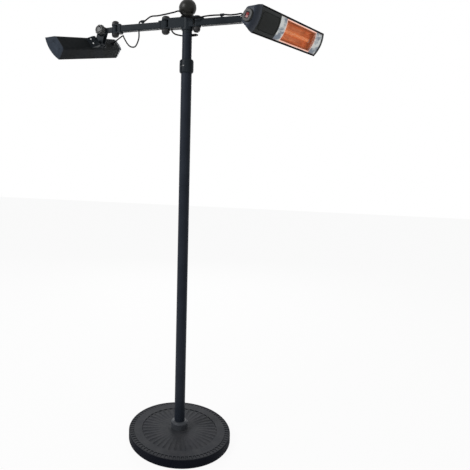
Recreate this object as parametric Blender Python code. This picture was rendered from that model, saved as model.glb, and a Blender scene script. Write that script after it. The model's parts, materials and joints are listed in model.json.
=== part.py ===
"""Twin-head infrared heater on a telescoping stand.

Metres, +Z up. The origin is the centre of the base's underside. The two arms run along X,
each head hangs from its arm on a swivel, a tilt hinge and a turntable, and the mast slides
and turns in the pole's top collar.
"""
import math

import bmesh
import bpy
from mathutils import Matrix, Vector

# Fits and finish
GAP = 0.0003                    # running gap left between neighbours
OVERRUN = 0.004                 # how far a cutter runs past what it cuts
WELD = 0.000002                 # points closer than this are one point
CRISP_ANGLE = math.radians(35)
FINE_STEPS = 24                 # sides of the pole and its rings
ROUND_STEPS = 16
BOLT_STEPS = 10
SMALL_STEPS = 12
ARC_STEPS = 4

# Base
BASE_DIAMETER = 0.500
BASE_FOOT_DIAMETER = 0.486
BASE_TUCK = 0.008               # height over which the side draws in to the foot
BASE_HEIGHT = 0.043             # floor to the crest of the rim
BASE_WALL = 0.008
BASE_PLATE_THICKNESS = 0.003
HUB_DIAMETER = 0.100            # raised seat for the socket
HUB_RISE = 0.007                # seat above the rim
BASE_CROWN = 0.004              # rise of the top from its rim to its middle
LIP_WIDTH = 0.006
RIM_WIDTH = 0.021
BAND_SHARE = 0.74               # where the sunburst ends, as a share of the radius
SUNBURST_START_SHARE = 0.30
FLUTE_COUNT = 32
FLUTE_SIDES = 2                 # a ridge and a valley
FLUTE_DEPTH = 0.0032
SLOT_DEPTH = 0.0022
SLOT_WEB = 0.0070               # metal left round each slot of the rim
BALLAST_DIAMETER = 0.440
BALLAST_BORE = 0.110
SOCKET_DIAMETER = 0.081
SOCKET_HEIGHT = 0.036
SOCKET_CHAMFER = 0.009
FOOT_BOLT_DIAMETER = 0.012
FOOT_BOLT_HEAD = 0.022
FOOT_BOLT_HEAD_HEIGHT = 0.008
FOOT_PLUG_HEIGHT = 0.025

# Pole
POLE_DIAMETER = 0.051
POLE_WALL = 0.0015
POLE_SECTION = 0.600            # visible length of the two lower sections
SPIGOT_LENGTH = 0.050
INLET_HEIGHT = 0.150            # cable gland above the floor, at the back of the pole
INLET_BORE = 0.014
INLET_FLANGE = 0.024
INLET_LENGTH = 0.020
INLET_FLANGE_LENGTH = 0.004
INLET_CABLE_BORE = 0.0085

# Collar and mast
COLLAR_DIAMETER = 0.067
COLLAR_HEIGHT = 0.060
COLLAR_BELOW = 0.013            # how far the collar reaches below the pole's top
COLLAR_CHAMFER = 0.006
COLLAR_SPLIT = 0.0030
COLLAR_SPLIT_ANGLE = math.radians(-120)
COLLAR_SCREW_DIAMETER = 0.0034
COLLAR_SCREW_HEAD = 0.0058
COLLAR_SCREW_LENGTH = 0.018
COLLAR_SCREW_HEAD_LENGTH = 0.0035
COLLAR_SCREW_SHARE = 0.62       # the screw's place across the collar's wall
MAST_DIAMETER = 0.046
MAST_WALL = 0.0020
MAST_SHOWN = 0.2165             # pole's top to the arms' centre line, at rest
MAST_ROOM = 0.1197              # below the mast's foot, down to the upper spigot
GLIDE_HEIGHT = 0.030
GLIDE_FLANGE = 0.008

# Head of the mast
ARM_HEIGHT = 2.0165             # centre line of both arms
NECK_BELOW = 0.047              # top of the mast tube below the arms' centre line
LEDGE_HEIGHT = 0.012
LEDGE_DIAMETER = 0.054
POST_SPIGOT_LENGTH = 0.060
BRACKET_HEIGHT = 0.048
BRACKET_LIFT = 0.0045           # brackets' middle above the arms' centre line
BRACKET_WIDTH = 0.042
EAR_THICKNESS = 0.006
EAR_DIAMETER = 0.038
LEFT_HINGE = 0.107              # hinge pins from the mast's axis
RIGHT_HINGE = 0.046
CROTCH = 0.0180                 # depth of a fork behind its pin
BALL_DIAMETER = 0.083
BALL_RISE = 0.0723              # ball's centre above the arms' centre line
NECK_DIAMETER = 0.056
NECK_TOP_DIAMETER = 0.052
NECK_HEIGHT = 0.013
BALL_STUD_DIAMETER = 0.010

# Arms
ARM_LENGTH = 0.264              # pin to pin
ARM_SIZE = 0.031                # square tube
ARM_WALL = 0.0020
ARM_START = 0.0245              # tube's end from the inner pin
ARM_PLUG = 0.020                # solid part of the tube behind the barrel
BARREL_DIAMETER = 0.027
PIN_DIAMETER = 0.010
DOME_DIAMETER = 0.034
DOME_HEIGHT = 0.015
NUT_HEIGHT = 0.024
OUTER_NUT_HEIGHT = 0.018
FORK_HEIGHT = 0.043
FORK_LENGTH = 0.034             # pin to the shoulder that meets the tube
TONGUE_LENGTH = 0.030
OUTER_DOME_HEIGHT = 0.019
CLIP_WIDTH = 0.010
CLIP_WALL = 0.0018
CLIP_PLACE = 0.118              # clips from the inner pins
CLIP_STEM = 0.0044              # width of the stem under each clip's ring
CLIP_PLAY = 0.0008              # room round the lead
LEAD_RISE = 0.0130              # lead above the arm's top, in its clip

# Swivel block and tilt hinge
BLOCK_DIAMETER = 0.033
SWIVEL_REACH = 0.075            # vertical pin to tilt axis
SWIVEL_NECK_WIDTH = 0.0156
SWIVEL_NECK_HEIGHT = 0.024
KNUCKLE_DIAMETER = 0.044
KNUCKLE_WIDTH = 0.018
CHEEK_THICKNESS = 0.006
YOKE_PLATE_THICKNESS = 0.006
YOKE_PLATE_DIAMETER = 0.056
YOKE_SLOT_FLOOR = 0.029         # the yoke's slot reaches this far past the tilt axis
KNOB_DIAMETER = 0.052
KNOB_LENGTH = 0.022
KNOB_DOME = 0.008
KNOB_LOBES = 10
LOBE_STEPS = 3
KNOB_LOBE_SHARE = 0.05
KNOB_DOME_SHARES = ((0.4, 0.55), (0.9, 0.45))    # inward and outward steps of the domed face
TILT_PIN_DIAMETER = 0.010
TILT_NUT_DIAMETER = 0.024
TILT_NUT_LENGTH = 0.007

# Turntable
MOUNT_REACH = 0.0541            # tilt axis to the head's back
MOUNT_DROP = 0.0358             # tilt axis above the turntable's centre, across the head
TURN_PIN_DIAMETER = 0.010
TURN_HEAD_DIAMETER = 0.022
TURN_HEAD_HEIGHT = 0.005
BRACKET_PLATE_LENGTH = 0.124
BRACKET_PLATE_WIDTH = 0.056
BRACKET_PLATE_THICKNESS = 0.003
TURN_BOSS_DIAMETER = 0.050
TURN_BOSS_HEIGHT = 0.003

# Heads
HEAD_LENGTH = 0.587             # plain end to the service cap's seam
HEAD_WIDTH = 0.113              # across the front
HEAD_BACK_SHARE = 0.56          # back's width over the front's
HEAD_DEPTH = 0.0483             # back to the front edges
FRONT_BULGE = 0.012             # how far the front swells past its edges
SHOULDER_RADIUS = 0.012
SHOULDER_STEPS = 3
FRONT_STEPS = 6
HOUSING_WALL = 0.0018
RIM_LIP = 0.006                 # black rim turned inwards at the front
MOUNT_SHARE = 0.62              # turntable's place from the plain end
CAP_THICKNESS = 0.004
NOSE_LENGTH = 0.045
NOSE_STEPS = 4
NOSE_COLLAR = 0.004             # straight band at the nose's mouth
NOSE_TIP_SHARE = 0.60
NOSE_WALL = 0.0025
PANEL_SHARE = 0.27              # service panel's length over the head's
PANEL_THICKNESS = 0.003
WINDOW_START_SHARE = 0.375      # lit window, from the service cap's seam
WINDOW_END_SHARE = 0.855
WINDOW_EDGE = 0.0075            # silver frame between rim and window
TROUGH_DEPTH = 0.034
TROUGH_FLOOR_SHARE = 0.60       # trough's floor over its mouth
TROUGH_RISE = 0.008             # how far the floor curls up at its sides
WINDOW_COLUMNS = 3              # facets across the window, in the trough and the grille
SHEET = 0.0014
FRONT_PLAY = 0.0006             # room between the rim and what it frames
GRILLE_BARS = 16
GRILLE_BAR_WIDTH = 0.0022
GRILLE_THICKNESS = 0.0016
GRILLE_RAIL = 0.0035
LAMP_DIAMETER = 0.017
LAMP_END_DIAMETER = 0.010
LAMP_SHOULDER = 0.004           # taper from the tube to its sealed end
LAMP_DEPTH = 0.016              # lamp's axis behind the front edges
HOLDER_SIZE = 0.016
HOLDER_LENGTH = 0.014
ROCKER_LENGTH = 0.019
ROCKER_WIDTH = 0.012
ROCKER_DEPTH = 0.008
ROCKER_THROW = math.radians(8)  # each way from level
ROCKER_PLAY = 0.0007
GLAND_SHARE = 0.90              # lead gland's place from the plain end
GLAND_DIAMETER = 0.020
GLAND_HEIGHT = 0.008
GLAND_NOSE_DIAMETER = 0.0125
GLAND_NOSE_HEIGHT = 0.012
GLAND_STEM_DIAMETER = 0.014
LEAD_DIAMETER = 0.007

# Rest angles of each side: swivel, tilt, turn
REST = {"left": (math.radians(-8.7), math.radians(29.4), math.radians(14.9)),
        "right": (math.radians(-22.4), math.radians(26.0), math.radians(-1.6))}

# Worked out from the sizes above
POLE_RADIUS = POLE_DIAMETER / 2
POLE_BORE_RADIUS = POLE_RADIUS - POLE_WALL
MAST_RADIUS = MAST_DIAMETER / 2
MAST_TOP = ARM_HEIGHT - NECK_BELOW
HUB_HEIGHT = BASE_HEIGHT + HUB_RISE
POLE_FOOT = HUB_HEIGHT + GAP
POLE_TOP = ARM_HEIGHT - MAST_SHOWN
JOINT_ONE = POLE_FOOT + POLE_SECTION
JOINT_TWO = JOINT_ONE + POLE_SECTION
MAST_FOOT = JOINT_TWO + SPIGOT_LENGTH + MAST_ROOM
ARM_HALF = ARM_SIZE / 2
PIN_RADIUS = PIN_DIAMETER / 2
EAR_RADIUS = EAR_DIAMETER / 2
BRACKET_LOW = BRACKET_LIFT - BRACKET_HEIGHT / 2     # from the arms' centre line
BRACKET_HIGH = BRACKET_LIFT + BRACKET_HEIGHT / 2
FORK_HALF = FORK_HEIGHT / 2
FORK_INSIDE = FORK_HALF - EAR_THICKNESS
YOKE_HALF = KNUCKLE_WIDTH / 2 + GAP + CHEEK_THICKNESS
PLAIN_END = HEAD_LENGTH * MOUNT_SHARE               # along +Y of the head's own frame
SERVICE_END = PLAIN_END - HEAD_LENGTH
FRONT_HALF = HEAD_WIDTH / 2
BACK_HALF = FRONT_HALF * HEAD_BACK_SHARE
PANEL_END = SERVICE_END + HEAD_LENGTH * PANEL_SHARE
WINDOW_START = SERVICE_END + HEAD_LENGTH * WINDOW_START_SHARE
WINDOW_END = SERVICE_END + HEAD_LENGTH * WINDOW_END_SHARE
OPENING_HALF = FRONT_HALF - RIM_LIP                 # half the width inside the rim
WINDOW_HALF = OPENING_HALF - WINDOW_EDGE
LAMP_LEVEL = HEAD_DEPTH - LAMP_DEPTH

# Leads: points on each route, with heights from the arms' centre line
LEFT_LOOP_ROUTE = ((-0.2306, 0.0, 0.0285), (-0.2370, 0.0, 0.0285), (-0.2500, 0.0140, 0.0280),
                   (-0.2560, 0.0250, 0.0065), (-0.2600, 0.0340, -0.0425), (-0.2840, 0.0550, -0.0720),
                   (-0.3220, 0.0880, -0.0670), (-0.3560, 0.1200, -0.0430), (-0.3900, 0.1460, 0.0005),
                   (-0.4020, 0.1630, 0.0145), (-0.4275, 0.1693, 0.0038), (-0.4531, 0.1732, -0.0108))
TOP_ROUTE = ((-0.2303, 0.0, 0.0285), (-0.2180, 0.0, 0.0285), (-0.2080, -0.0010, 0.0345),
             (-0.1859, -0.0040, 0.0460), (-0.1443, -0.0100, 0.0462), (-0.1025, -0.0200, 0.0468),
             (-0.0598, -0.0340, 0.0471), (-0.0239, -0.0460, 0.0449), (-0.0178, -0.0480, 0.0379),
             (-0.0061, -0.0460, 0.0262), (0.0169, -0.0400, 0.0180), (0.0483, -0.0300, 0.0150),
             (0.0955, -0.0160, 0.0240), (0.1252, -0.0040, 0.0285), (0.1570, 0.0, 0.0285),
             (0.1693, 0.0, 0.0285))
RIGHT_LOOP_ROUTE = ((0.1696, 0.0, 0.0285), (0.1770, 0.0, 0.0285), (0.2000, -0.0010, 0.0250),
                    (0.2300, -0.0060, 0.0232), (0.2550, -0.0220, 0.0200), (0.2700, -0.0580, 0.0040),
                    (0.2760, -0.1000, -0.0165), (0.2790, -0.1380, -0.0275), (0.2880, -0.1650, -0.0320),
                    (0.3035, -0.1750, -0.0380), (0.3282, -0.1852, -0.0510))
UNDER_ROUTE = ((-0.0760, 0.0, -0.0198), (-0.0760, 0.0, -0.0265), (-0.0680, 0.0130, -0.0370),
               (-0.0420, 0.0310, -0.0430), (-0.0140, 0.0410, -0.0450), (0.0160, 0.0400, -0.0465),
               (0.0380, 0.0280, -0.0490), (0.0470, 0.0120, -0.0515), (0.0400, 0.0, -0.0520),
               (0.0310, 0.0, -0.0520), (0.0234, 0.0, -0.0520))
LEAD_STEP = 0.020               # between a lead's points


def clear_scene():
    for obj in list(bpy.data.objects):
        bpy.data.objects.remove(obj, do_unlink=True)


def material(name, color, roughness, metallic=0.0):
    made = bpy.data.materials.new(name)
    made.use_nodes = True
    shader = made.node_tree.nodes["Principled BSDF"]
    shader.inputs["Base Color"].default_value = (*color, 1.0)
    shader.inputs["Roughness"].default_value = roughness
    shader.inputs["Metallic"].default_value = metallic
    return made


def empty(name, parent=None, place=(0, 0, 0), turn=(0, 0, 0)):
    """An empty on a joint's axis; what it carries is parented to it."""
    made = bpy.data.objects.new(name, None)
    bpy.context.scene.collection.objects.link(made)
    made.parent = parent
    made.location = place
    made.rotation_euler = turn
    return made


def finish(name, bm, look, parent=None):
    bmesh.ops.remove_doubles(bm, verts=bm.verts, dist=WELD)
    bmesh.ops.recalc_face_normals(bm, faces=bm.faces)
    mesh = bpy.data.meshes.new(name)
    bm.to_mesh(mesh)
    bm.free()
    mesh.materials.append(look)
    mesh.shade_smooth()
    mesh.set_sharp_from_angle(angle=CRISP_ANGLE)
    made = bpy.data.objects.new(name, mesh)
    bpy.context.scene.collection.objects.link(made)
    made.parent = parent
    return made


def combine(target, bm, operation="DIFFERENCE"):
    """Cut the target with a shape in the target's own frame, or join the shape to it."""
    tool = finish(target.name + "_tool", bm, target.data.materials[0], target.parent)
    tool.hide_render = True
    tool.display_type = "WIRE"
    boolean = target.modifiers.new(operation.title(), "BOOLEAN")
    boolean.operation = operation
    boolean.object = tool
    boolean.solver = "EXACT"


def turned(profile, steps=ROUND_STEPS):
    """A shape turned about Z from (radius, height) points; a ring where no point is on the axis."""
    bm = bmesh.new()
    points = [bm.verts.new((radius, 0, height)) for radius, height in profile]
    pairs = list(zip(points, points[1:]))
    if min(radius for radius, height in profile) > 0:
        pairs.append((points[-1], points[0]))
    edges = [bm.edges.new(pair) for pair in pairs]
    bmesh.ops.spin(bm, geom=points + edges, cent=(0, 0, 0), axis=(0, 0, 1), angle=math.tau,
                   steps=steps, use_merge=True)
    return bm


def extruded(outline, low, high, axis="z"):
    """A closed outline pushed along an axis: (x, y) along z, (x, z) along y, (y, z) along x."""
    spots = {"z": lambda u, v, w: (u, v, w), "y": lambda u, v, w: (u, w, v), "x": lambda u, v, w: (w, u, v)}
    spot = spots[axis]
    bm = bmesh.new()
    face = bm.faces.new([bm.verts.new(spot(u, v, low)) for u, v in outline])
    pushed = bmesh.ops.extrude_face_region(bm, geom=[face])["geom"]
    moved = [item for item in pushed if isinstance(item, bmesh.types.BMVert)]
    bmesh.ops.translate(bm, verts=moved, vec=spot(0, 0, high - low))
    return bm


def block(low, high):
    outline = ((low[0], low[1]), (high[0], low[1]), (high[0], high[1]), (low[0], high[1]))
    return extruded(outline, low[2], high[2])


def rod(radius, low, high, steps=SMALL_STEPS):
    return turned(((0, low), (radius, low), (radius, high), (0, high)), steps)


def laid(bm, axis, place=(0, 0, 0)):
    """Turn a shape made about Z onto X or Y, then move it."""
    turns = {"x": Matrix.Rotation(math.pi / 2, 4, "Y"), "y": Matrix.Rotation(-math.pi / 2, 4, "X"),
             "z": Matrix.Identity(4)}
    bmesh.ops.transform(bm, matrix=Matrix.Translation(place) @ turns[axis], verts=bm.verts)
    return bm


def arc(centre, radius, start, end, steps=ARC_STEPS):
    spread = [start + (end - start) * step / steps for step in range(steps + 1)]
    return [(centre[0] + radius * math.cos(a), centre[1] + radius * math.sin(a)) for a in spread]


def round_ended(flat, centre, half):
    """Plan outline along X: square at flat, half round about centre."""
    facing = math.copysign(1, centre - flat)
    spread = [math.pi * (step / ARC_STEPS - 0.5) for step in range(ARC_STEPS + 1)]
    tip = [(centre + facing * half * math.cos(a), half * math.sin(a)) for a in spread]
    return [(flat, -half), *tip, (flat, half)]


def tangent_angle(radius, point, side):
    """Angle on a circle about the origin where a line from the point touches it."""
    return math.atan2(point[1], point[0]) + side * math.acos(radius / math.hypot(*point))


# Base

def base_top(share):
    """Height of the casting's top at a share of its radius."""
    return BASE_HEIGHT + BASE_CROWN * (1 - share)


def base_casting(look):
    radius = BASE_DIAMETER / 2
    hub = HUB_DIAMETER / 2
    start, end = SUNBURST_START_SHARE * radius, BAND_SHARE * radius
    slot_in, slot_out = radius - LIP_WIDTH - RIM_WIDTH, radius - LIP_WIDTH
    ceiling = BASE_HEIGHT - BASE_WALL
    foot = BASE_FOOT_DIAMETER / 2
    deepest = end - FLUTE_DEPTH
    bolt_hole = FOOT_BOLT_DIAMETER / 2 + GAP
    rings = (hub + HUB_RISE, start, deepest, end, slot_in, slot_out)
    top = [(reach, base_top(reach / radius)) for reach in rings]
    bm = turned(((bolt_hole, HUB_HEIGHT), (hub, HUB_HEIGHT), *top, (radius, BASE_HEIGHT - LIP_WIDTH / 2),
                 (radius, BASE_TUCK), (foot, 0), (foot - BASE_WALL, 0), (radius - BASE_WALL, ceiling),
                 (bolt_hole, ceiling)), FLUTE_COUNT * FLUTE_SIDES)
    pitch = math.pi / FLUTE_COUNT
    for point in bm.verts:
        reach = math.hypot(point.co.x, point.co.y)
        valley = round(math.atan2(point.co.y, point.co.x) / pitch) % FLUTE_SIDES == 1
        if valley and point.co.z > BASE_HEIGHT and start + WELD < reach < end - WELD:
            point.co.z -= FLUTE_DEPTH
    middle = (slot_in + slot_out) / 2
    rim = []
    for face in bm.faces:
        centre = face.calc_center_median()
        if centre.z > BASE_HEIGHT and abs(math.hypot(centre.x, centre.y) - middle) < LIP_WIDTH:
            rim.append(face)
    bmesh.ops.recalc_face_normals(bm, faces=bm.faces)
    bmesh.ops.inset_individual(bm, faces=rim, thickness=SLOT_WEB / 2, depth=-SLOT_DEPTH, use_even_offset=True)
    finish("base_casting", bm, look)


def base_pieces(looks):
    base_casting(looks["iron"])
    foot = BASE_FOOT_DIAMETER / 2 - BASE_WALL - GAP
    finish("base_plate", rod(foot, 0, BASE_PLATE_THICKNESS, FLUTE_COUNT), looks["steel"])
    ceiling = BASE_HEIGHT - BASE_WALL
    low, high = BASE_PLATE_THICKNESS + GAP, ceiling - GAP
    finish("base_ballast", turned(((BALLAST_BORE / 2, low), (BALLAST_DIAMETER / 2, low),
                                   (BALLAST_DIAMETER / 2, high), (BALLAST_BORE / 2, high)), FINE_STEPS),
           looks["stone"])
    inside, outside = POLE_RADIUS + GAP, SOCKET_DIAMETER / 2
    low, high = HUB_HEIGHT + GAP, HUB_HEIGHT + GAP + SOCKET_HEIGHT
    finish("base_socket", turned(((inside, low), (outside, low), (outside, high - SOCKET_CHAMFER),
                                  (outside - SOCKET_CHAMFER, high), (inside, high)), FINE_STEPS), looks["coat"])
    shank, head = FOOT_BOLT_DIAMETER / 2, FOOT_BOLT_HEAD / 2
    top = ceiling - GAP
    tip = POLE_FOOT + FOOT_PLUG_HEIGHT - OVERRUN
    bolt = turned(((0, top - FOOT_BOLT_HEAD_HEIGHT), (head, top - FOOT_BOLT_HEAD_HEIGHT), (head, top),
                   (shank, top), (shank, tip), (0, tip)), SMALL_STEPS)
    finish("foot_bolt", bolt, looks["steel"])


# Pole

def pole_section(name, look, foot, top, plugged, spigot):
    """A tube, with a plug at its foot or a spigot on its top where asked."""
    bore, thread = POLE_BORE_RADIUS, FOOT_BOLT_DIAMETER / 2 + GAP
    profile = [(bore, foot), (POLE_RADIUS, foot)]
    if plugged:
        profile[0] = (thread, foot)
    profile.append((POLE_RADIUS, top))
    if spigot:
        outside = bore - GAP
        profile += [(outside, top), (outside, top + SPIGOT_LENGTH), (outside - POLE_WALL, top + SPIGOT_LENGTH),
                    (outside - POLE_WALL, top - POLE_WALL), (bore, top - POLE_WALL * 2)]
    else:
        profile.append((bore, top))
    if plugged:
        profile += [(bore, foot + FOOT_PLUG_HEIGHT), (thread, foot + FOOT_PLUG_HEIGHT)]
    return finish(name, turned(profile, FINE_STEPS), look)


def pole_pieces(looks):
    lower = pole_section("pole_lower", looks["coat"], POLE_FOOT, JOINT_ONE, True, True)
    pole_section("pole_middle", looks["coat"], JOINT_ONE + GAP, JOINT_TWO, False, True)
    pole_section("pole_upper", looks["coat"], JOINT_TWO + GAP, POLE_TOP, False, False)
    place = (0, 0, INLET_HEIGHT)
    hole = INLET_BORE / 2
    combine(lower, laid(rod(hole, 0, POLE_RADIUS + OVERRUN), "y", place))
    stem, flange, bore = hole - GAP, INLET_FLANGE / 2, INLET_CABLE_BORE / 2
    seat = POLE_RADIUS + GAP
    inside = POLE_BORE_RADIUS - POLE_WALL
    finish("mains_gland", laid(turned((
        (bore, inside), (stem, inside), (stem, seat), (flange, seat), (flange, seat + INLET_FLANGE_LENGTH),
        (stem, seat + INLET_LENGTH), (bore, seat + INLET_LENGTH)), SMALL_STEPS), "y", place), looks["rubber"])


def clamp_collar(looks):
    inside, outside = POLE_RADIUS + GAP, COLLAR_DIAMETER / 2
    low = POLE_TOP - COLLAR_BELOW
    high = low + COLLAR_HEIGHT
    slope = COLLAR_CHAMFER / 2
    profile = ((inside, low), (outside - slope, low), (outside, low + COLLAR_CHAMFER),
               (outside, high - COLLAR_CHAMFER), (outside - slope, high), (inside, high))
    collar = finish("clamp_collar", turned(profile, FINE_STEPS), looks["coat"])
    split = block((inside - OVERRUN, -COLLAR_SPLIT / 2, low - OVERRUN),
                  (outside + OVERRUN, COLLAR_SPLIT / 2, high + OVERRUN))
    at = inside + (outside - inside) * COLLAR_SCREW_SHARE
    place = (at, 0, (low + high) / 2)
    shank, head = COLLAR_SCREW_DIAMETER / 2, COLLAR_SCREW_HEAD / 2
    back, front = -COLLAR_SCREW_LENGTH / 2, COLLAR_SCREW_LENGTH / 2
    hole = rod(shank + GAP, back - OVERRUN, front)
    pocket = rod(head + GAP, front - GAP, front + COLLAR_SCREW_LENGTH)
    end = front + COLLAR_SCREW_HEAD_LENGTH
    profile = ((0, back), (shank, back), (shank, front), (head, front), (head, end), (0, end))
    screw = turned(profile, SMALL_STEPS)
    around = Matrix.Rotation(COLLAR_SPLIT_ANGLE, 4, "Z")
    shapes = (split, laid(hole, "y", place), laid(pocket, "y", place))
    for shape in shapes:
        bmesh.ops.transform(shape, matrix=around, verts=shape.verts)
        combine(collar, shape)
    screw = laid(screw, "y", place)
    bmesh.ops.transform(screw, matrix=around, verts=screw.verts)
    finish("clamp_screw", screw, looks["steel"])
    bush_low, bush_high = POLE_TOP + GAP, high - GAP
    finish("guide_bush", turned(((MAST_RADIUS + GAP, bush_low), (POLE_RADIUS, bush_low),
                                 (POLE_RADIUS, bush_high), (MAST_RADIUS + GAP, bush_high)), FINE_STEPS),
           looks["plastic"])


# Mast

def mast_pieces(looks):
    bore = MAST_RADIUS - MAST_WALL
    finish("mast_tube", turned(((bore, MAST_FOOT), (MAST_RADIUS, MAST_FOOT), (MAST_RADIUS, MAST_TOP),
                                (bore, MAST_TOP)), FINE_STEPS), looks["coat"])
    slide, seat = POLE_BORE_RADIUS - GAP, MAST_FOOT - GAP
    stem = bore - GAP
    inside, low, high = stem - GLIDE_FLANGE / 2, seat - GLIDE_FLANGE, seat + GLIDE_HEIGHT - GLIDE_FLANGE
    glide = ((inside, low), (slide, low), (slide, seat), (stem, seat), (stem, high), (inside, high))
    finish("mast_glide", turned(glide, FINE_STEPS), looks["plastic"])
    ledge_top = ARM_HEIGHT + BRACKET_LOW - GAP
    ledge_low, post_top = ledge_top - LEDGE_HEIGHT, ARM_HEIGHT + BRACKET_HIGH
    stud = BALL_STUD_DIAMETER / 2
    ledge, post_foot = LEDGE_DIAMETER / 2, MAST_TOP - POST_SPIGOT_LENGTH
    post = ((stud + GAP, post_foot), (stem, post_foot), (stem, MAST_TOP + GAP), (MAST_RADIUS, MAST_TOP + GAP),
            (MAST_RADIUS, ledge_low), (ledge, ledge_low), (ledge, ledge_top), (MAST_RADIUS, ledge_top),
            (MAST_RADIUS, post_top), (stud + GAP, post_top))
    finish("mast_post", turned(post, FINE_STEPS), looks["coat"])
    neck_low, neck_high = post_top + GAP, post_top + GAP + NECK_HEIGHT
    ball, centre = BALL_DIAMETER / 2, ARM_HEIGHT + BALL_RISE
    start = math.asin((neck_high - centre) / ball)
    shell = arc((0, centre), ball, start, math.pi / 2, ARC_STEPS * 2)
    neck = ((0, MAST_TOP), (stud, MAST_TOP), (stud, neck_low), (NECK_DIAMETER / 2, neck_low),
            (NECK_TOP_DIAMETER / 2, neck_high))
    finish("ball_cap", turned([*neck, *shell[:-1], (0, centre + ball)], ROUND_STEPS), looks["gloss"])


def clevis(name, look, parent, flat, pin, half, low, high, inside, crotch):
    """A fork with its pin's bore, from a flat shoulder to a round end about the pin."""
    fork = finish(name, extruded(round_ended(flat, pin, half), low, high), look, parent)
    facing = math.copysign(1, pin - flat)
    back, front = sorted((pin - facing * crotch, pin + facing * (half + OVERRUN)))
    combine(fork, block((back, -half - OVERRUN, inside[0]), (front, half + OVERRUN, inside[1])))
    combine(fork, laid(rod(PIN_RADIUS + GAP, low - OVERRUN, high + OVERRUN), "z", (pin, 0, 0)))
    return fork


def hinge_bolt(name, look, parent, place, low, high, dome, nut):
    """A pin with a domed head above its fork and a domed nut below it."""
    half = DOME_DIAMETER / 2
    head = [(x * half, high + GAP + z * dome) for x, z in arc((0, 0), 1, 0, math.pi / 2)]
    cap = [(x * half, low - GAP + z * nut) for x, z in arc((0, 0), 1, -math.pi / 2, 0)]
    head[-1], cap[0] = (0, head[-1][1]), (0, cap[0][1])
    bolt = turned([*cap, (PIN_RADIUS, low - GAP), (PIN_RADIUS, high + GAP), *head], BOLT_STEPS)
    finish(name, laid(bolt, "z", (place, 0, 0)), look, parent)


def mast_bracket(side, looks, parent):
    """The fork on the mast that carries an arm: it meets the post with a hollow end."""
    pin = LEFT_HINGE if side == "left" else RIGHT_HINGE
    inside = (BRACKET_LOW + EAR_THICKNESS, BRACKET_HIGH - EAR_THICKNESS)
    fork = clevis(side + "_bracket", looks["coat"], parent, 0, pin, BRACKET_WIDTH / 2 - GAP, BRACKET_LOW,
                  BRACKET_HIGH, inside, CROTCH)
    combine(fork, rod(MAST_RADIUS + GAP, BRACKET_LOW - OVERRUN, BRACKET_HIGH + OVERRUN, FINE_STEPS))
    return pin


# Arms

def arm_pieces(side, looks, axis):
    """The square tube with its barrel, the outer fork and the lead's clip, along +X from the inner pin."""
    tube_end = ARM_LENGTH - FORK_LENGTH - GAP
    arm = finish(side + "_arm", block((ARM_START, -ARM_HALF, -ARM_HALF), (tube_end, ARM_HALF, ARM_HALF)),
                 looks["coat"], axis)
    bore = ARM_HALF - ARM_WALL
    combine(arm, block((ARM_START + ARM_PLUG, -bore, -bore), (tube_end + OVERRUN, bore, bore)))
    barrel_low, barrel_high = BRACKET_LOW + EAR_THICKNESS + GAP, BRACKET_HIGH - EAR_THICKNESS - GAP
    barrel = round_ended(ARM_START + ARM_PLUG / 2, 0, BARREL_DIAMETER / 2)
    combine(arm, extruded(barrel, barrel_low, barrel_high), "UNION")
    combine(arm, rod(PIN_RADIUS + GAP, barrel_low - OVERRUN, barrel_high + OVERRUN))
    lead_clip(arm)
    hinge_bolt(side + "_inner_bolt", looks["coat"], axis, 0, BRACKET_LOW, BRACKET_HIGH, DOME_HEIGHT, NUT_HEIGHT)
    shoulder = ARM_LENGTH - FORK_LENGTH
    fork = clevis(side + "_fork", looks["coat"], axis, shoulder, ARM_LENGTH, EAR_RADIUS - GAP, -FORK_HALF,
                  FORK_HALF, (-FORK_INSIDE, FORK_INSIDE), CROTCH + GAP)
    tongue = bore - GAP
    inner_end = block((shoulder - TONGUE_LENGTH, -tongue, -tongue), (shoulder + OVERRUN, tongue, tongue))
    combine(fork, inner_end, "UNION")
    hinge_bolt(side + "_outer_bolt", looks["coat"], axis, ARM_LENGTH, -FORK_HALF, FORK_HALF, OUTER_DOME_HEIGHT,
               OUTER_NUT_HEIGHT)


def lead_clip(arm):
    """A ring on a stem, welded to the arm's top, that holds the lead above it."""
    hole = LEAD_DIAMETER / 2 + CLIP_PLAY
    outside, stem = hole + CLIP_WALL, CLIP_STEM / 2
    foot, level = ARM_HALF - ARM_WALL / 2, ARM_HALF + LEAD_RISE
    lean = math.asin(stem / outside)
    ring = arc((0, level), outside, lean - math.pi / 2, math.pi * 3 / 2 - lean, ARC_STEPS * 2)
    back, front = CLIP_PLACE - CLIP_WIDTH / 2, CLIP_PLACE + CLIP_WIDTH / 2
    combine(arm, extruded([(-stem, foot), (stem, foot), *ring], back, front, "x"), "UNION")
    combine(arm, laid(rod(hole, back - OVERRUN, front + OVERRUN), "x", (0, 0, level)))


def swivel_block(side, look, axis):
    """The block on the outer pin: a barrel, a neck and the tilt hinge's knuckle."""
    half, barrel, bore = FORK_INSIDE - GAP, BLOCK_DIAMETER / 2, PIN_RADIUS + GAP
    made = finish(side + "_swivel", turned(((bore, -half), (barrel, -half), (barrel, half), (bore, half)),
                                           ROUND_STEPS), look, axis)
    neck, high = SWIVEL_NECK_WIDTH / 2, SWIVEL_NECK_HEIGHT / 2
    knuckle, thick, pin = KNUCKLE_DIAMETER / 2, KNUCKLE_WIDTH / 2, TILT_PIN_DIAMETER / 2 + GAP
    start, end = (bore + barrel) / 2, SWIVEL_REACH - (pin + knuckle) / 2
    combine(made, block((start, -neck, -high), (end, neck, high)), "UNION")
    eye = turned(((pin, -thick), (knuckle, -thick), (knuckle, thick), (pin, thick)), ROUND_STEPS)
    combine(made, laid(eye, "y", (SWIVEL_REACH, 0, 0)), "UNION")


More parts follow.
